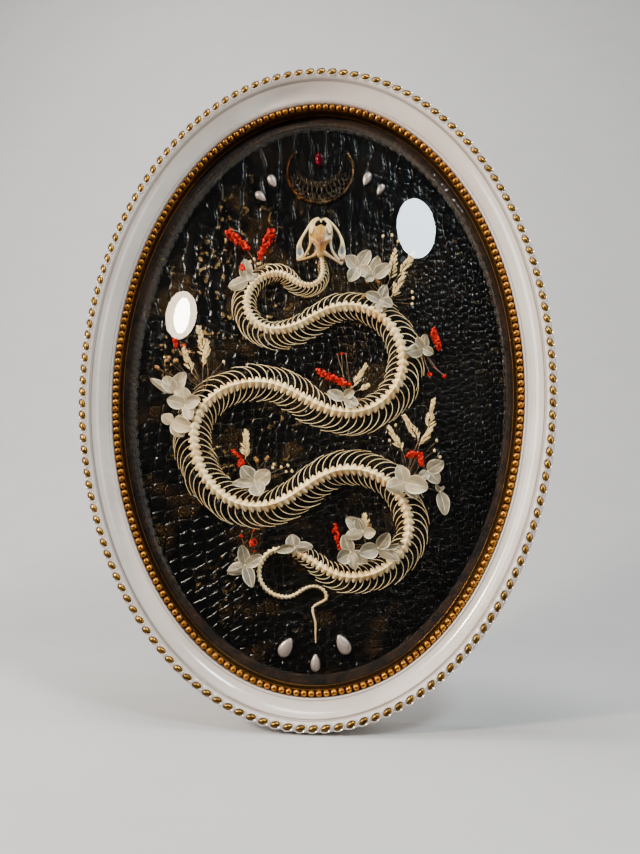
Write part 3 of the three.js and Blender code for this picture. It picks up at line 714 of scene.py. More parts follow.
# One mark paints stains on the bones and, on the vertebrae, shade in the hollows and below the
# wings.
for mark, colour in (("golden", "a1762a"), ("stain_and_shade", "5c2405"), ("milky", "575a61")):
    tone = mixed(tree, mark_of(tree, mark), tone, colour)
feed(tree, shader, Base_Color=tone, Roughness=0.36, Specular_IOR_Level=0.35,
     Normal=fine_bump(tree, 1500.0, 0.00005))

# A vertebra from above is a level ridge with a pair of arms that run outwards and backwards from it
# to a short square wing. Between the arms of one and the next it is hollow, and the ribs hang
# there.
STATIONS = np.array([0.0, 0.14, 0.3, 0.42, 0.54, 0.68, 0.8, 0.9, 0.99])
WIDTHS = np.array([0.8, 0.82, 0.86, 1.1, 1.2, 1.22, 0.98, 0.84, 0.8])
ROOFS = np.array([0.42, 0.45, 0.6, 0.98, 1.2, 1.0, 0.68, 0.48, 0.42])
BLADES = np.array([-0.12, 0.06, 0.1, 0.14, 0.18, 0.16, 0.12, 0.06, -0.12])
SECTION = np.array([(0, -1.0), (0.42, -0.8), (0.55, -0.25), (1.0, 0.12), (0.82, 0.42),
                    (0.3, 0.8), (0.0, 1.0), (-0.3, 0.8), (-0.82, 0.42), (-1.0, 0.12),
                    (-0.55, -0.25), (-0.42, -0.8)])
ASIDE, HEIGHT = np.abs(SECTION[:, 0]), SECTION[:, 1]


def vertebrae(starts):
    """Closed bodies, one to each place along the spine. A section is carried along each, drawn
    backwards at its sides: its width follows the wings, its shoulders the arms, and its top stays
    level but for the blade."""
    pitch, half = (body(starts, column)[:, None, None] for column in (PITCH, HALF))
    swept = 0.4 * (ASIDE - 0.5) * np.sin(np.pi * STATIONS)[:, None]
    s = starts[:, None, None] + pitch * (STATIONS[:, None] + swept)
    own = 1 + 0.05 * rng.standard_normal((len(starts), 1, 1))
    side = half * own * WIDTHS[:, None] * SECTION[:, 0]
    ridge = np.clip(1 - ASIDE / 0.6, 0, 1)
    roof = ROOFS[:, None] + (1.1 - ROOFS[:, None]) * ridge
    rise = np.where(HEIGHT > 0, HEIGHT * roof, HEIGHT) + np.where(HEIGHT == 1, BLADES[:, None], 0)
    return beside(s, side, UNDERSIDE_LIFT + half + half * rise)


def tubes_faces(points):
    """The faces of many tubes alike: points are an array of tubes, rings, places and x, y, z."""
    count, rows, columns, _ = points.shape
    return copied(tube_faces(rows, columns), rows * columns, count)


def make_vertebrae(part, points, stands_for):
    """A run of vertebrae, stained at the joints, with shade painted in the hollows between
    the arms and below the wings."""
    joint = np.interp(STATIONS, [0, 0.1, 0.5, 0.9, 0.99], [0.3, 0.05, 0.0, 0.05, 0.3])[:, None]
    hollow_shade = np.interp(STATIONS, [0, 0.3, 0.45, 0.75, 0.99], [1, 0.8, 0, 0, 1])[:, None]
    # Painted shade in the hollows between the arms and below the wings, with the stain at the
    # joints.
    stain_and_shade = (joint + 0.42 * hollow_shade * np.clip(2 * ASIDE - 0.6, 0, 1)
             + 0.45 * np.clip(0.3 - HEIGHT, 0, 1))
    make_piece(f"{part}_vertebrae", points, tubes_faces(points), bone, "bone", stands_for,
               crease=40, marks={"stain_and_shade": np.broadcast_to(np.clip(stain_and_shade, 0, 1), points.shape[:3])})


def rod_frame(line):
    """Along a line, the direction across it in the leather's plane, and the one raised from it."""
    ahead = unit(np.gradient(line, axis=-2))
    across = unit(np.cross(ahead, [0.0, -1.0, 0.0]))
    return across, np.cross(across, ahead)


def ribs(starts, hand):
    """Curved tapering rods. Each leaves its vertebra sideways, sweeps back towards the tail as it
    bends down, and ends close to the leather; on the outside of a bend they spread wider."""
    count = len(starts)
    root = RIB_ROOT * body(starts, HALF)
    swell = 1 - hand * SPREAD_ON_BENDS * turning(starts)
    reach = body(starts, REACH) * swell * (1 + 0.05 * rng.standard_normal(count)) - root
    sweep = (RIB_SWEEP * (1 + 0.07 * rng.standard_normal(count))
             * np.interp(starts, LENGTHS[:2], [1.4, 1]))
    angle = np.linspace(0, RIB_BEND, RIB_STEPS)
    s = starts[:, None] + (sweep * reach)[:, None] * (1 - np.cos(angle))
    side = hand * (root[:, None] + reach[:, None] * np.sin(angle))
    lift = RIB_TIP_LIFT + RIB_RISE * np.clip(np.cos(angle * 0.97), 0, 1) ** 1.1
    line = beside(s, side, lift)
    across, raised = rod_frame(line)
    thick = np.interp(np.linspace(0, 1, RIB_STEPS), [0, 0.1, 0.22, 0.6, 1],
                      [0.7, 0.34, 0.22, 0.2, 0.14])
    thick = thick * np.interp(starts, LENGTHS[:2], [0.5, 1])[:, None]
    turn = full_turn(RIB_SIDES)[:, None]
    return line[:, :, None] + thick[:, :, None, None] * (
        across[:, :, None] * np.cos(turn) + raised[:, :, None] * np.sin(turn))


# Ribs are tan at their heads and clearer towards their tips.
way = np.linspace(0, 1, RIB_STEPS)[:, None]
RIB_MARKS = {"stain_and_shade": np.interp(way, [0, 0.12, 0.24], [0.35, 0.12, 0]),
             "milky": np.interp(way, [0.3, 1], [0, 0.05])}

for number in range(len(LENGTHS) - 1):
    part = f"trunk_{number}" if number else "neck"
    first = LENGTHS[number] - 0.1 if number else SKULL_OVERHANG
    starts = JOINTS[(JOINTS >= first) & (JOINTS < LENGTHS[number + 1] - 0.1)]
    make_vertebrae(part, vertebrae(starts), [f"{part}_left", f"{part}_right"])
    if number == 0:
        starts = starts[1:]
    for hand, side in ((1, "left"), (-1, "right")):
        points = ribs(starts + RIB_PLACE * body(starts, PITCH), hand)
        make_piece(f"{part}_ribs_{side}", points, tubes_faces(points), bone, "bone",
                   [f"{part}_{side}"], crease=80,
                   marks={key: np.broadcast_to(values, points.shape[:3])
                          for key, values in RIB_MARKS.items()})

starts = JOINTS[JOINTS >= LENGTHS[-1] - 0.1][:-1]
points = vertebrae(starts)
points[..., 1] += np.interp(starts, TAIL_SETTLES, [0, TAIL_LOWER])[:, None, None]
make_vertebrae("tail", points, ["tail"])


# ---- The skull and lower jaws: the braincase and snout are one piece; the palate's bars and the
# hangers of the jaws arch out behind, and the two lower jaws are slender bowed rods.

HEAD_X = 3.4
NECK_Z = 97


def head(forward, side, lift):
    """A point of the head: ahead of the neck joint, to the animal's left, above the leather."""
    forward, side, lift = np.broadcast_arrays(forward, side, lift)
    return np.stack([HEAD_X - side, -(LEATHER_FRONT + lift), NECK_Z + forward], -1)


def rod_along(course, around=8, steps=5, dish=0.0):
    """A rod through [x, y, z, half width, half thickness] rows, by a smooth curve. The width lies
    in the plane of the leather. A dish lowers the middle of its upper side by that share, where
    the rod is wider than 1.4 mm."""
    course = smooth_profile(course, steps)
    line, wide, thick = course[:, None, :3], course[:, 3, None, None], course[:, 4, None, None]
    across, raised = (part[:, None] for part in rod_frame(line[:, 0]))
    turn = full_turn(around)[:, None]
    sunk = dish * np.clip(wide - 1.4, 0, 1) * (1 - np.cos(turn) ** 4)
    high = np.where(np.sin(turn) > 0, np.sin(turn) * (1 - sunk), np.sin(turn))
    points = line + across * wide * np.cos(turn) + raised * thick * high
    return points.reshape(-1, 3), tube_faces(len(course), around)


def gather(parts):
    """Several meshes as one: their points, and their faces renumbered, with like faces together."""
    starts = summed([len(points) for points, _ in parts])
    quads, caps = ([kinds[i] + start for start, (_, kinds) in zip(starts, parts)] for i in (0, 1))
    widths = sorted({part.shape[1] for part in caps})
    return np.concatenate([points for points, _ in parts]), [np.concatenate(quads)] + [
        np.concatenate([part for part in caps if part.shape[1] == width]) for width in widths]


# Rows of distance ahead, half width, and the lifts of the underside and the top.
SKULL = np.array([
    (-3.2, 1.4, 5.2, 7.4), (-2.4, 2.4, 4.5, 8.3), (-1, 3.2, 4.1, 9.0), (1, 3.6, 3.9, 9.6),
    (3, 3.6, 3.7, 10.0), (5.3, 4.0, 3.7, 10.4), (7, 5.2, 3.8, 10.4), (8.4, 7.2, 4.0, 10.2),
    (10, 8.2, 4.0, 9.9), (13, 8.5, 4.0, 9.5), (15.5, 8.6, 4.0, 9.1), (17.3, 8.2, 4.0, 8.7),
    (18.6, 7.2, 4.2, 8.3), (19.3, 5.6, 4.6, 7.9), (19.7, 3.6, 5.2, 7.3)])
rows = smooth_profile(SKULL, 6)
turn = full_turn(64)
forward, half, low, high = (rows[:, i:i + 1] for i in range(4))
middle, tall = (low + high) / 2, (high - low) / 2
side = half * np.sign(np.cos(turn)) * np.abs(np.cos(turn)) ** 0.8
up = np.sign(np.sin(turn)) * np.abs(np.sin(turn)) ** 0.9
upper = (up > 0) * np.clip(up * 2, 0, 1)


def bell(distance):
    """1 at no distance, falling softly to 0 on either side."""
    return np.exp(-distance ** 2)


def spot(ahead, long, aside, wide):
    """A soft oval spot on the skull."""
    return bell((forward - ahead) / long) * bell((side - aside) / wide)


crest = 0.5 * bell(side / 0.6) * np.clip(1 - np.abs(forward - 4) / 8, 0, 1)
seam = 0.35 * bell(side / 0.4) * np.clip((forward - 11) / 3, 0, 1)
orbit = spot(14.5, 2.9, -6.3, 1.5) + spot(14.5, 2.9, 6.3, 1.5)
brow = bell((np.abs(side) - 3.6) / 1.1) * bell((forward - 15.5) / 4.5)
bulge = spot(7.5, 3.5, 0, 3.4)
lift = middle + tall * up + upper * (crest - seam - 1.7 * orbit + 0.45 * brow + 0.3 * bulge)
nose = 1.5 * bell(side / 1.5) * np.clip((forward - 17) / 2.5, 0, 1)
sutures = (bell((forward - 12.6 + 0.35 * np.cos(2.2 * side)) / 0.3) * (np.abs(side) < 6)
           + bell((np.abs(side) - 0.28 * (forward - 1)) / 0.3) * (forward > 4) * (forward < 12)
           + bell((forward - 4.2 - 0.12 * side**2) / 0.3))
points = head(forward + nose * (up > -0.5), side, lift - 0.12 * upper * sutures)
tones = {
    "stain_and_shade": 0.14 + 0.35 * orbit + upper * (
        0.22 * sutures + 0.5 * seam + 0.75 * spot(7.4, 4, -0.3, 4.2) + 0.4 * spot(1, 4.5, 0, 3.5)),
    "golden": 0.5 + upper * (
        spot(14.5, 6.5, 0.4, 4.6) + 0.6 * spot(12, 5, 6, 2.8) + 0.5 * bell((forward - 2) / 4)),
    "milky": upper * (0.95 * spot(14.5, 5, -6.2, 2.6) + 0.3 * spot(18, 2.5, 5.4, 1.8))}
make_piece("skull_case", points, tube_faces(*points.shape[:2]), bone, "bone", ["skull"],
           crease=60, marks={key: np.clip(tone, 0, 1) for key, tone in tones.items()})


def head_course(rows):
    """Rows of forward, side, half width, half thickness and lift as points of the head."""
    rows = np.asarray(rows, float)
    return np.column_stack([head(rows[:, 0], rows[:, 1], rows[:, 4]), rows[:, 2:4]])


# Rods of bone, in rows of forward, side, half width, half thickness and lift.
SNOUT_ARCH = [(15.5, 7.4, 1.2, 1.3, 7.0), (18.6, 6.9, 1.35, 1.3, 6.9), (21.2, 6.0, 1.3, 1.2, 6.3),
              (23.4, 4.8, 0.95, 1.0, 5.6), (25.2, 3.3, 0.7, 0.8, 5.0), (26.2, 1.9, 0.6, 0.7, 4.7),
              (26.0, 0.95, 0.5, 0.7, 4.7), (24.9, 0.45, 0.42, 0.6, 5.0),
              (23.6, 0.12, 0.3, 0.5, 5.3)]
CHEEK_EDGE = [(14.0, 6.9, 0.9, 0.9, 7.9), (16.6, 5.9, 0.9, 0.9, 8.0), (19.0, 5.0, 0.9, 0.9, 7.6),
              (20.6, 4.3, 0.5, 0.6, 6.9)]
HANGERS = {
    1: [(0.8, 1.8, 1.7, 1.6, 7.4), (-0.9, 3.4, 1.5, 1.2, 7), (-2.5, 6.2, 1.0, 0.9, 6.4),
        (-3.4, 9.5, 0.9, 0.8, 5.6), (-3.7, 13, 1.0, 0.8, 4.7), (-3.7, 16.7, 1.3, 0.9, 3.5)],
    -1: [(0.6, -1.8, 1.7, 1.6, 7.4), (-1.1, -4.2, 1.5, 1.2, 7), (-3.2, -7.4, 1.0, 0.9, 6.4),
         (-5, -10.6, 0.9, 0.8, 5.6), (-6.4, -13.2, 1.0, 0.8, 4.6), (-7.3, -15.6, 1.3, 0.9, 3.5)]}
PALATE_BARS = {
    1: [(10.5, 7.2, 1.1, 1.0, 5.8), (8.3, 7.5, 1.0, 0.9, 5.5), (5.5, 8.1, 0.9, 0.8, 5),
        (2.3, 9.7, 0.95, 0.7, 4.6), (-0.9, 11.4, 0.9, 0.6, 4.2), (-2.9, 13.6, 0.7, 0.5, 4)],
    -1: [(10.2, -7.0, 1.1, 1.0, 5.8), (8, -7.1, 1.0, 0.9, 5.5), (5.2, -7.4, 0.9, 0.8, 5),
         (1.6, -8.6, 1.0, 0.7, 4.6), (-2.1, -11.1, 1.1, 0.6, 4.2), (-4.6, -13.8, 0.9, 0.5, 4)]}
mirror = np.array([1, -1, 1, 1, 1])
bars = [rod_along(head_course(rows)) for rows in (
    SNOUT_ARCH, SNOUT_ARCH * mirror, CHEEK_EDGE, CHEEK_EDGE * mirror,
    HANGERS[1], HANGERS[-1], PALATE_BARS[1], PALATE_BARS[-1])]
points, faces = gather(bars)
ahead, aside = points[:, 2] - NECK_Z, points[:, 0] - HEAD_X
make_piece("skull_bars", points, faces, bone, "bone", ["skull"], crease=60,
           marks={"stain_and_shade": 0.35 * np.clip(1 - ahead / 6, 0, 1),
                  "golden": ((0.4 + 0.4 * np.clip(1 - ahead / 16, 0, 1))
                             * np.interp(aside, [-2, 4], [1, 0.4])),
                  "milky": 0.35 * np.clip(aside / 4, 0, 1)})

# Rods of bone again, in the same rows. Each jaw widens into a dished blade.
JAWS = {
    "jaw_left": [(28.6, 1.9, 0.5, 0.6, 2), (27.7, 4.3, 0.7, 0.8, 2), (26.0, 6.6, 0.8, 0.9, 2),
                 (22.1, 9.2, 0.85, 1.0, 2), (17.2, 12.0, 0.9, 1.1, 2), (12.3, 14.6, 1.05, 1.2, 2),
                 (8.2, 15.9, 1.6, 1.2, 2), (4.7, 15.8, 2.3, 1.1, 2), (2.0, 15.4, 2.75, 1.0, 2),
                 (-0.3, 15.8, 2.2, 0.9, 2), (-2.4, 16.8, 1.3, 0.9, 2), (-4.2, 17.3, 0.7, 0.7, 2)],
    "jaw_right": [(28.1, -2.1, 0.5, 0.6, 2), (26.9, -4.5, 0.7, 0.8, 2),
                  (24.5, -7.1, 0.8, 0.9, 2), (20.1, -10.7, 0.85, 1.0, 2),
                  (13.9, -14.0, 0.95, 1.1, 2), (9.3, -15.4, 1.3, 1.2, 2),
                  (4.8, -15.4, 2.1, 1.1, 2), (1.6, -15.1, 2.75, 1.0, 2),
                  (-0.8, -15.5, 2.2, 0.9, 2), (-3.4, -16.1, 1.4, 0.9, 2),
                  (-5.8, -16.1, 0.9, 0.8, 2)]}
for name, course in JAWS.items():
    course = np.array(course)
    points, faces = rod_along(head_course(course), 18, 6, 1.5)
    forward, aside = points[:, 2] - NECK_Z, HEAD_X - points[:, 0]
    middle, half = (np.interp(-forward, -course[:, 0], course[:, i]) for i in (1, 2))
    blade = bell((forward - 3.2) / 3.6) * np.clip(1.25 - np.abs(aside - middle) / half, 0, 1)
    joint = 0.9 * np.clip(-forward / 4, 0, 1)
    make_piece(f"{name}_bone", points, faces, bone, "bone", [name], crease=60,
               marks={"stain_and_shade": joint, "golden": 0.2 + 0.5 * joint,
                      "milky": np.clip(blade * 1.5, 0, 1)})


# ---- The dried flowers: papery hydrangea florets, spikes of crumpled red florets, cream sprigs and
# small buds on wiry stalks, tied in ten posies that stand on the leather.

# Foot is where a posy's stalks meet. Florets are (x, z, lift, paleness, petals), each petal with
# its turn, length and width; spikes of red are (from x, z, to x, z, radius, count, lift); sprigs
# are (from x, z, to x, z, spread); white and gold buds are (x, z).
POSIES = {
    "upper_left": {
        "foot": (-43, 80),
        "florets": [(-49.3, 77.6, 6, 0.7, [(100, 15, 10), (200, 15, 10), (20, 8, 7)])],
        "red": [(-65.5, 115.6, -49, 101, 3.8, 60, 5), (-32.1, 115, -41.6, 94, 3.9, 60, 6),
                (-52.6, 85.6, -52.4, 84.4, 2.6, 14, 11)],
        "white": [(-47.6, 91.6), (-44.9, 93.5), (-42.1, 89.8), (-40.5, 90.1), (-35.4, 87.2)]},
    "beside_head": {
        "foot": (47, 66),
        "florets": [(30.3, 85.2, 6, 0.45, [(56, 15, 10), (140, 11.5, 9.5), (242, 12, 9.5),
                                         (-31, 13, 9.5)]),
                    (41.7, 77.7, 6.5, 0.55, [(80, 14.5, 9.5), (39, 14.5, 10), (200, 7, 6)]),
                    (46.2, 60.9, 5.5, 0.25, [(148, 12, 8), (69, 12, 8), (275, 9.5, 9),
                                           (-30, 10, 8)])],
        "sprigs": [(59, 79, 69, 94, 30), (53, 76.6, 56.5, 95, 34), (54, 63.5, 61.7, 77, 24)],
        "white": [(48.2, 108.8), (54.7, 109.4), (58.9, 104.8), (68.7, 66.9), (69.3, 62.5),
                  (68.6, 58.1)],
        "gold": [(34.1, 64.5), (35.8, 65.6), (45, 74.6), (43.6, 75.8), (36.9, 75.5)]},
    "right_flank": {
        "foot": (77, 24),
        "florets": [(76, 25.6, 6, 0.5, [(195, 12.5, 10), (80, 10, 7), (-25, 8, 7),
                                        (125, 9, 6)])],
        "red": [(83, 39, 87.5, 25, 2.8, 40, 6), (80.7, 8.4, 81, 7.6, 1.6, 5, 4),
                (91, 7.2, 91.2, 6.6, 1.5, 5, 4), (84.5, 13, 84.7, 12.6, 0.9, 3, 4)]},
    "upper_loop": {
        "foot": (23, -7),
        "florets": [(21.8, -9.4, 9, 0.6, [(165, 13, 8), (42, 8, 7), (-32, 11, 9)])],
        "red": [(1.9, 9.8, 23.4, 0.5, 3.2, 52, 6), (15.9, 22.6, 16, 22.2, 0.8, 2, 5),
                (19, 23.3, 19, 22.9, 1.0, 3, 5), (22, 23, 22, 22.7, 0.8, 2, 5)],
        "sprigs": [(26.9, -1.6, 35.2, 12.4, 20), (31.4, -3.5, 36, -1, 18)],
        "gold": [(20.3, -0.5), (26, -1.2), (31, -10)]},
    "left_flank": {
        "foot": (-79, -3),
        "florets": [(-99.6, -4.5, 6, 0.9, [(156, 18.5, 6.5), (122, 13.5, 10.5),
                                         (64, 16, 10.5), (-40, 10, 9)]),
                    (-91.1, -14.4, 8, 1.0, [(100, 13, 11), (160, 13, 10), (20, 12, 10),
                                          (-60, 12, 9)]),
                    (-100.6, -25.9, 6, 1.0, [(150, 9.5, 8.5), (-15, 16, 12), (-52, 14, 10)])],
        "red": [(-101.7, 34.6, -100.4, 28.9, 2.1, 18, 5), (-94.4, 30.3, -93.6, 29.2, 1.4, 5, 5)],
        "sprigs": [(-78, 20, -83.5, 41, 36), (-88.1, 9.6, -94, 25.5, 32),
                   (-80, 14, -77, 30, 20)],
        "white": [(-65, 17.5)],
        "gold": [(-106, 19), (-105.2, 21), (-113, 13.4), (-114.6, 14.2), (-99.5, 19)]},
    "left_loop": {
        "foot": (-40, -66),
        "florets": [(-40.4, -68.5, 6, 0.7, [(35, 13.5, 12), (185, 15, 7), (-65, 10, 12)]),
                    (-40.8, -67, 5.5, 0.15, [(135, 13.5, 11)])],
        "red": [(-57.2, -46.1, -50.9, -50.5, 1.6, 14, 5), (-50.8, -55.8, -50.3, -54.4, 2.6, 18, 6)],
        "sprigs": [(-47.6, -52, -46.9, -34, 34)],
        "white": [(-27.4, -55.7), (-22.2, -57.6), (-17.6, -56.4), (-18.8, -60.8),
                  (-14.7, -60.4), (-28.2, -58)],
        "gold": [(-39.5, -52.9), (-33.2, -52.4), (-40.8, -51.6), (-32.2, -50.8)]},
    "right_flank_low": {
        "foot": (64, -65),
        "florets": [(62.5, -68.1, 11, 0.75, [(105, 13, 10), (-12, 16, 13), (200, 13, 12)]),
                    (64, -69, 10, 0.1, [(-52, 12, 9)]),
                    (78.3, -60.1, 10, 0.35, [(35, 12, 10), (-45, 11, 9), (225, 8, 7)]),
                    (86.4, -73.9, 8, 0.3, [(-75, 16, 8.5), (120, 6, 3), (60, 5, 2.5)])],
        "red": [(66, -49, 74, -50, 3.4, 22, 12), (73.5, -48.5, 74, -56, 2.2, 10, 12)],
        "sprigs": [(78.3, -32.1, 82.4, -12.5, 28), (72.2, -38.9, 63.5, -23.5, 26),
                   (72.8, -42.2, 80, -32, 20), (61.4, -45.7, 53, -31.5, 22)],
        "white": [(56.8, -28.1), (52.7, -38.9), (84.8, -38.9), (83.2, -45.7), (87, -50.2)]},
    "lower_loop": {
        "foot": (36, -110),
        "florets": [(34.4, -101, 9, 0.45, [(137, 14.5, 9.5), (112, 10, 8.5)]),
                    (34.6, -101.6, 9.6, 0.9, [(195, 12.5, 8), (0, 8.5, 8)]),
                    (44.9, -111.9, 10, 0.35, [(197, 13, 11), (55, 12.5, 9), (-28, 15, 9),
                                            (10, 18, 3.5)]),
                    (26.4, -115.7, 9, 0.4, [(110, 13.5, 9), (205, 10, 10), (-25, 13, 9)]),
                    (26.6, -115, 10, 0.8, [(-72, 12, 7.5)])],
        "red": [(15.4, -95.8, 18.8, -113.5, 2.4, 30, 5)],
        "sprigs": [(36.6, -99.5, 35.9, -91.6, 20)],
        "gold": [(39.4, -97)]},
    "lower_left": {
        "foot": (-42, -119),
        "florets": [(-45.3, -124.8, 8, 0.3, [(100, 14, 8.5), (205, 14, 9), (-65, 15.5, 8.5),
                                           (28, 14, 8)])],
        "red": [(-41, -101.9, -41, -101.5, 0.9, 3, 5), (-49.8, -105.6, -49.3, -105.2, 1.3, 5, 5),
                (-41.6, -110.6, -40.6, -108.6, 2.4, 18, 5), (-40, -115.7, -40, -115.2, 1.0, 3, 5)]},
    "tail_root": {
        "foot": (-11.5, -112),
        "florets": [(-11.5, -112.6, 8.5, 0.3, [(105, 9.5, 10), (188, 13, 6), (5, 12.5, 7),
                                             (-95, 5, 2.5)])]},
}

sepal, tree, shader = new_finish("papery_sepal")
aside = maths(tree, "ABSOLUTE", mark_of(tree, "across"))
forked = maths(tree, "MULTIPLY_ADD", aside, -1.3, mark_of(tree, "along"))
veins = ramp(tree, maths(tree, "SINE", maths(tree, "MULTIPLY", forked, 24.0)), 0.8, 1, 0, 0.45)
for line in (ramp(tree, aside, 0.8, 0.97, 0, 0.75), ramp(tree, aside, 0.09, 0, 0, 0.6)):
    veins = maths(tree, "MAXIMUM", veins, line)
thin = mixed(tree, mark_of(tree, "pale"), "322d2a", "b49c78")
blotched = cloud_of(tree, "2e2d2e", "9c8868", 140.0, 0.35, 0.7)["Color"]
tissue = mixed(tree, 0.45, thin, blotched)
feed(tree, shader, Base_Color=mixed(tree, veins, tissue, "ecd9b4"), Roughness=0.5,
     Normal=fine_bump(tree, 700.0, 0.00012))

red_floret = clouded_finish("red_floret", "cc1a00", "4a0400", 480.0, 0.42, 0.66, 1400.0, 0.0002,
                            Roughness=0.8, Specular_IOR_Level=0.1)
cream_sprig = clouded_finish("cream_sprig", "e9c98a", "a87a3e", 420.0, 0.45, 0.75, 1600.0, 0.00015,
                             Roughness=0.6)
brown_stalk = clouded_finish("gold_brown_stalk", "7d5a34", "35200f", 300.0, 0.38, 0.62, 1200.0,
                             0.0001, Roughness=0.5)
gold_bud = clouded_finish("golden_bud", "a86c0e", "46260a", 420.0, 0.4, 0.65, 1400.0, 0.0001,
                          Roughness=0.45)

PETAL_ROWS, PETAL_COLUMNS = 13, 9
PETAL_THICK, PETAL_LAYER = 0.22, 0.3
FOOT_LIFT = 2.5
FIRST_SEED = 40


def petal(length, width, chance):
    """A petal from its narrow foot at the origin along the first axis: half its width follows a
    root of a sine of the way along. It is cupped across, curls along, and is gently folded. It
    comes as both faces and the wall between them, with each point's shares along and across."""
    t = np.linspace(0.02, 0.985, PETAL_ROWS)[:, None]
    side = np.linspace(-1, 1, PETAL_COLUMNS)
    half = width / 2 * np.sin(np.pi * t ** 0.82) ** 0.62
    lean, cup, curl, fold, phase = chance.uniform((0.05, -1.8, -0.3, 0.2, 0),
                                                  (0.34, 3.0, 0.16, 0.5, 6))
    y = half * side + 0.05 * length * np.sin(3 * t + phase) * t
    z = (length * (lean * t + curl * t**2) + cup * side**2 * np.sin(np.pi * t)
         + fold * np.sin(4.5 * side + 7 * t + phase) * t
         + 0.4 * side**2 * t * np.sin(13 * t + 2 * side + phase))
    top = joined(length * t, y, z).reshape(-1, 3)
    count = len(top)
    grid = np.arange(count).reshape(PETAL_ROWS, PETAL_COLUMNS)
    rim = np.concatenate([grid[0, :-1], grid[:-1, -1], grid[-1, :0:-1], grid[:0:-1, 0]])
    wall = np.stack([rim, rim + count, np.roll(rim, -1) + count, np.roll(rim, -1)], -1)
    face = grid_faces(PETAL_ROWS, PETAL_COLUMNS)
    marks = [np.tile(np.broadcast_to(part, grid.shape).ravel(), 2) for part in (t, side)]
    return (np.concatenate([top, top - (0, 0, PETAL_THICK)]),
            np.concatenate([face, face[:, ::-1] + count, wall]), marks)


def facing(ahead):
    """Three directions for each of some headings in the panel's plane: ahead, across and out."""
    out = np.broadcast_to([0.0, -1.0, 0.0], ahead.shape)
    return np.stack([ahead, np.cross(out, ahead), out], -2)


def heading_of(degrees):
    """A heading in the panel's plane, by its angle from x towards z."""
    turn = np.radians(degrees)
    return np.stack([np.cos(turn), 0 * turn, np.sin(turn)], -1)


def bodies(places, axes=np.eye(3), sizes=1.0, crumple=0.0, rows=5, columns=6):
    """Small round bodies, one at each place. Crumpling scales each point's distance from its own
    centre by one plus a product of sines of its place."""
    shape, kinds = ball(rows, columns)
    points, kinds = repeat(shape, kinds, places, axes, sizes)
    centre = np.repeat(places, len(shape), 0)
    dent = np.sin(points[:, 0] * 4.1 + points[:, 1] * 3.3) * np.sin(points[:, 2] * 4.7 + 1)
    return centre + (points - centre) * (1 + crumple * dent)[:, None], kinds


def stalk(start, end, half, chance):
    """A thin bowed rod between two points."""
    bow = 0.12 * np.linalg.norm(end - start) * chance.uniform(-1, 1, 3) * (1, 0.4, 1)
    course = [start, start * 0.6 + end * 0.4 + bow, start * 0.2 + end * 0.8 + bow * 0.4, end]
    return rod_along([(*point, half, half) for point in course], 5, 3)


def above_leather(x, z, lift):
    """A point by its place on the panel and its lift above the leather."""
    return np.array([x, -(LEATHER_FRONT + lift), z])


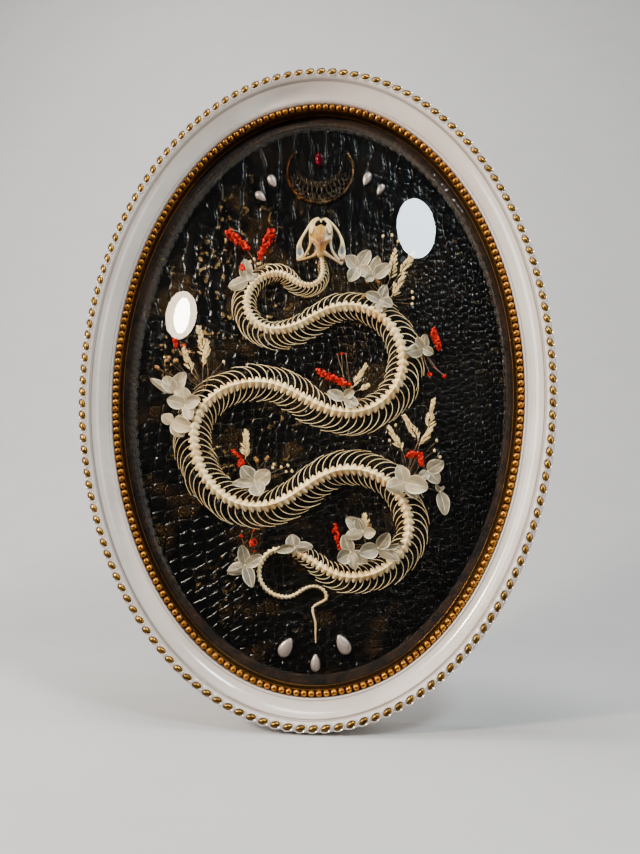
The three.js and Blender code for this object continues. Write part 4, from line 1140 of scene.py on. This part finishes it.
for number, (name, posy) in enumerate(POSIES.items()):
    chance = np.random.default_rng(number + FIRST_SEED)
    foot = above_leather(*posy["foot"], FOOT_LIFT)
    red, cream, brown, gold = [], [], [], []
    parts, marks = [], []
    for x, z, lift, paleness, petals in posy["florets"]:
        cream.append(bodies(above_leather(x, z, lift + 0.6)[None], sizes=(0.8, 0.7, 0.8)))
        brown.append(stalk(foot, above_leather(x, z, lift), 0.22, chance))
        for layer, (turn, length, width) in enumerate(petals):
            points, faces, (along, across) = petal(length, width, chance)
            points = points @ facing(heading_of(turn))
            points = points + above_leather(x, z, lift + PETAL_LAYER * layer)
            parts.append((points, (faces, faces[:0])))
            tint = np.clip(paleness + chance.uniform(-0.15, 0.15), 0, 1)
            marks.append((along, across, np.full(len(points), tint)))
    points, (faces, _) = gather(parts)
    marks = dict(zip(("along", "across", "pale"), map(np.concatenate, zip(*marks))))
    make_piece(f"posy_{name}_petals", points, [faces], sepal, "dried_petals", [f"posy_{name}"],
               crease=60, marks=marks)
    for x0, z0, x1, z1, radius, count, lift in posy.get("red", []):
        start, end = above_leather(x0, z0, lift), above_leather(x1, z1, lift)
        count = 2 * count
        share = chance.random(count)[:, None]
        off = chance.standard_normal((count, 3))
        off *= (radius * chance.random((count, 1)) ** 0.4
                / np.linalg.norm(off, axis=1, keepdims=True))
        size = chance.uniform(0.5, 1.05, (count, 1)) * np.minimum(1.1, radius / 2)
        places = start + (end - start) * share + off * (1 - 0.35 * share) * (1, 0.8, 1)
        red.append(bodies(places, sizes=size, crumple=0.4))
        brown.append(stalk(foot, end * 0.7 + start * 0.3, 0.24, chance))
    for x0, z0, x1, z1, spread in posy.get("sprigs", []):
        start, end = above_leather(x0, z0, 6), above_leather(x1, z1, 8)
        length = np.linalg.norm(end - start)
        root = np.linspace(0.04, 1, int(length / 1.5) + 4)[:, None]
        hand = np.where(np.arange(len(root)) % 2, 1, -1)[:, None]
        lean = spread * hand * chance.uniform(0.5, 1.4, root.shape) * (1.15 - 0.6 * root)
        long = (5.6 - 3 * root) * chance.uniform(0.6, 1.1, root.shape)
        bud = np.linspace(0.3, 1, 6)
        turn = np.degrees(np.arctan2(z1 - z0, x1 - x0)) + lean + 0 * bud
        tip = heading_of(turn + 26 * np.where(np.arange(6) % 2, 1, -1) * (bud < 1))
        forth = chance.uniform(-0.45, 0.45, root.shape)
        places = (start + (end - start) * root[..., None] + heading_of(turn)
                  * (long * bud)[..., None] + tip * 0.6
                  - np.array([0, 1.0, 0]) * (forth * long * bud)[..., None])
        sized = chance.uniform(0.8, 1.2, places.shape[:2])[..., None] * (1.25, 0.36, 0.36)
        cream.append(bodies(places.reshape(-1, 3), facing(tip.reshape(-1, 3)),
                            sized.reshape(-1, 3), 0.2, 4, 5))
        brown.append(stalk(foot, start, 0.2, chance))
        cream.append(stalk(start, end, 0.2, chance))
    for key, buds, lift, halves, thread in (("white", cream, 6, (0.95, 0.9, 1.1), 0.09),
                                            ("gold", gold, 5, (1.25, 1.2, 1.45), 0.12)):
        for x, z in posy.get(key, []):
            spot_at = above_leather(x, z, lift)
            buds.append(bodies(spot_at[None], np.eye(3), halves, 0.25, 6, 8))
            brown.append(stalk(foot, spot_at, thread, chance))
    for kind, parts, finish in (("red", red, red_floret), ("cream", cream, cream_sprig),
                                ("stalks", brown, brown_stalk), ("buds", gold, gold_bud)):
        if parts:
            make_piece(f"posy_{name}_{kind}", *gather(parts), finish, "dried_petals",
                       [f"posy_{name}"], crease=70)


# ---- The pearls: seven flat-backed glass pearls, teardrop-shaped, glued to the leather.

# Place, length, width, and the way the point looks.
PEARLS = {"top_left_1": (-33.4, 155, 10.5, 6.5, -62), "top_left_2": (-41.8, 143, 10, 6, -42),
          "top_right_1": (36.5, 154.5, 10.5, 6.5, 248), "top_right_2": (46.5, 146, 9, 5.4, 240),
          "bottom_left": (-17.2, -179.5, 14, 9, 60), "bottom_middle": (2.9, -189, 11.5, 6.8, 90),
          "bottom_right": (21.5, -176.5, 14, 9, 120)}
DROP_THICK = 4.4
DROP_RINGS, DROP_SIDES = 30, 40

pearl_coat, tree, shader = new_finish("pearl_lacquer")
tone = cloud_of(tree, "c0aca2", "9c8880", 60.0, 0.4, 0.7)["Color"]
# The pearls are painted darker towards their outlines, a painted shade.
edge = node(tree, "LayerWeight", {"Blend": 0.6}).outputs["Facing"]
feed(tree, shader, Base_Color=mixed(tree, edge, tone, "3a302d"), Roughness=0.33, Metallic=0.62,
     Coat_Weight=1.0, Coat_Roughness=0.2)


def teardrop(x, z, length, width, turn):
    """A teardrop turned about its length: round at the butt and drawn to a point, with its back
    pressed flat."""
    t = np.linspace(0.012, 0.988, DROP_RINGS)[:, None]
    radius = 0.5 * np.sin(np.pi * t) * (1.12 - 0.72 * t**1.6)
    radius = radius / radius.max() * 0.5
    angle = full_turn(DROP_SIDES)
    ahead, across, front = facing(heading_of(turn))
    rise = np.maximum(DROP_THICK * radius * np.sin(angle), -0.42 * DROP_THICK)
    points = (-0.5 * np.cos(np.pi * t)[..., None] * length * ahead
              + (radius * np.cos(angle))[..., None] * width * across + rise[..., None] * front)
    return points + above_leather(x, z, 0.3 + DROP_THICK / 2), tube_faces(*points.shape[:2])


for name, drop in PEARLS.items():
    make_piece(f"pearl_{name}_drop", *teardrop(*drop), pearl_coat, "pearl", [f"pearl_{name}"],
               crease=80)


# ---- The gem: a teardrop of red glass, glued on with its point down inside the crescent.

red_glass, tree, shader = new_finish("red_glass")
# The drop is painted bright red at its left and near black at its right: painted light and shade.
painted_glow = ramp(tree, place_of(tree)["X"], 0.0016, -0.0016)
tone = cloud_of(tree, "b80028", "5e0010", 90.0, 0.42, 0.6)["Color"]
feed(tree, shader, Base_Color=mixed(tree, painted_glow, "2a0005", tone), Roughness=0.1, Coat_Weight=1.0,
     Coat_Roughness=0.04, IOR=1.6)
make_piece("gem_drop", *teardrop(1.9, 170.4, 10, 7.2, 270), red_glass, "red_glass", ["gem"],
           crease=80)


# ---- The crescent: antique brass wires soldered to a rope-twist edge. The horns are plain, and
# crossed waves of wire fill the belly, with a bead at each crossing.

# Each edge is an arc: its centre's x and z, its radius, the angle of its first horn, and its reach.
INNER_EDGE = 1.1, 171, 16.6, 159.2, 221.6
OUTER_EDGE = 2, 162, 24.4, 142.3, 255.4


def edge_point(edge, share):
    """A point of an edge: its radius turned by the angle, about its centre."""
    x, z, radius, first, reach = edge
    angle = np.radians(first + reach * share)
    return x + radius * np.cos(angle), z + radius * np.sin(angle)


def crescent_line(share, outward, lift):
    """Points between the two edges. Share goes from horn to horn, and outward from edge to edge."""
    x, z = ((1 - outward) * inner + outward * outer for inner, outer in zip(
        edge_point(INNER_EDGE, share), edge_point(OUTER_EDGE, share)))
    return joined(x, -(LEATHER_FRONT + lift), z)


def wire(share, outward, lift, half):
    """A thin round wire along the crescent."""
    line = crescent_line(share, outward, lift)
    return rod_along(np.column_stack([line, np.full((len(line), 2), half)]), 6, 1)


def make_wires(name, parts, finish):
    """Many wires as one piece. Its high mark is 1 at their top, and 0 where they dip; the brass
    paints shade there.
    """
    points, faces = gather(parts)
    high = np.clip((-points[:, 1] - LEATHER_FRONT - 1.0) / 0.7, 0, 1)
    make_piece(name, points, faces, finish, "antique_brass", ["crescent"], crease=60,
               marks={"high": high})


def brass(name, bright, dark, painted_warm_glint=False):
    """Brass gone brown, bright in clouds where it has been handled, with a matt grain. Shade is
    painted near black where the wires dip, and a warm glint may be painted in orange towards
    the left."""
    material, tree, shader = new_finish(name)
    tone = cloud_of(tree, bright, dark, 330.0, 0.38, 0.6)["Color"]
    # Shade is painted near black where the wires dip low.
    tone = mixed(tree, mark_of(tree, "high"), "0c0805", tone)
    # The rope gets a warm glint painted in orange towards the left.
    if painted_warm_glint:
        leftward = ramp(tree, place_of(tree)["X"], 0.004, -0.016)
        warmth = mixed(tree, leftward, (1, 1, 1, 1), (1, 0.5, 0.16, 1))
        tone = mixed(tree, 1.0, tone, warmth, blend_type="MULTIPLY")
    feed(tree, shader, Base_Color=tone, Metallic=0.95, Roughness=0.3,
         Normal=fine_bump(tree, 1400.0, 0.00005))
    return material


ROPE_TURNS, ROPE_RADIUS = 25, 0.62
ROPE_WIRE, EDGE_WIRE, WAVE_WIRE, SOLDER_BEAD = 0.46, 0.3, 0.23, 0.5
share = np.linspace(0, 1, 560)
apart = np.linalg.norm(crescent_line(share, 1, 0) - crescent_line(share, 0, 0), axis=1)
apart = np.maximum(apart, 2.5)
coils = [2 * np.pi * ROPE_TURNS * share + phase for phase in (0, np.pi)]
make_wires("crescent_rope", [wire(share, 1 + ROPE_RADIUS / apart * np.cos(coil),
                                  1.1 + 0.6 * np.sin(coil), ROPE_WIRE) for coil in coils],
           brass("rope_brass", "a07a50", "3a2817", True))

parts = [wire(np.linspace(0, 1, 100), edge, 0.7, EDGE_WIRE) for edge in (0.0, 0.2, 0.46, 0.74)]
belly = np.linspace(0.2, 0.8, 300)
swell = np.clip(np.sin(np.pi * (belly - 0.2) / 0.6), 0, 1) ** 0.5
for middle, reach, waves, phase in ((0.48, 0.4, 14, 0), (0.48, 0.4, 14, np.pi),
                                    (0.74, 0.2, 14, 1.5), (0.74, 0.2, 14, 4.6),
                                    (0.14, 0.13, 20, 0.5), (0.14, 0.13, 20, 3.6)):
    wave = middle + reach * swell * np.cos(2 * np.pi * waves * (belly - 0.2) / 1.2 + phase)
    parts.append(wire(belly, wave, 1.2 + 0.25 * np.sin(phase + 0.3), WAVE_WIRE))
crossing = 0.2 + 1.2 * (np.arange(1, 14) + 0.5) / 28
places = np.concatenate([crescent_line(crossing, edge, 1.5) for edge in (0.48, 0.86)])
parts.append(bodies(places, sizes=SOLDER_BEAD))
make_wires("crescent_wires", parts, brass("antique_brass", "a08263", "3a2a1a"))


# ---- The back: a hardboard panel let into the moulding, brown and finely fibrous, and a plated
# steel keyhole plate sunk in it, by which the frame hangs on a screw.

hardboard = clouded_finish("hardboard", "8a6743", "5d4128", 240.0, 0.35, 0.7, 900.0, 0.00015,
                           Roughness=0.8)
plated_steel = clouded_finish("plated_steel", "b9bcbd", "85888a", 180.0, 0.35, 0.7, 1800.0,
                              0.00002, Metallic=1.0, Roughness=0.5)
for name, finish in (("backing_board", hardboard), ("keyhole_plate", plated_steel)):
    for place in bpy.data.objects[name].material_slots:
        place.material = finish
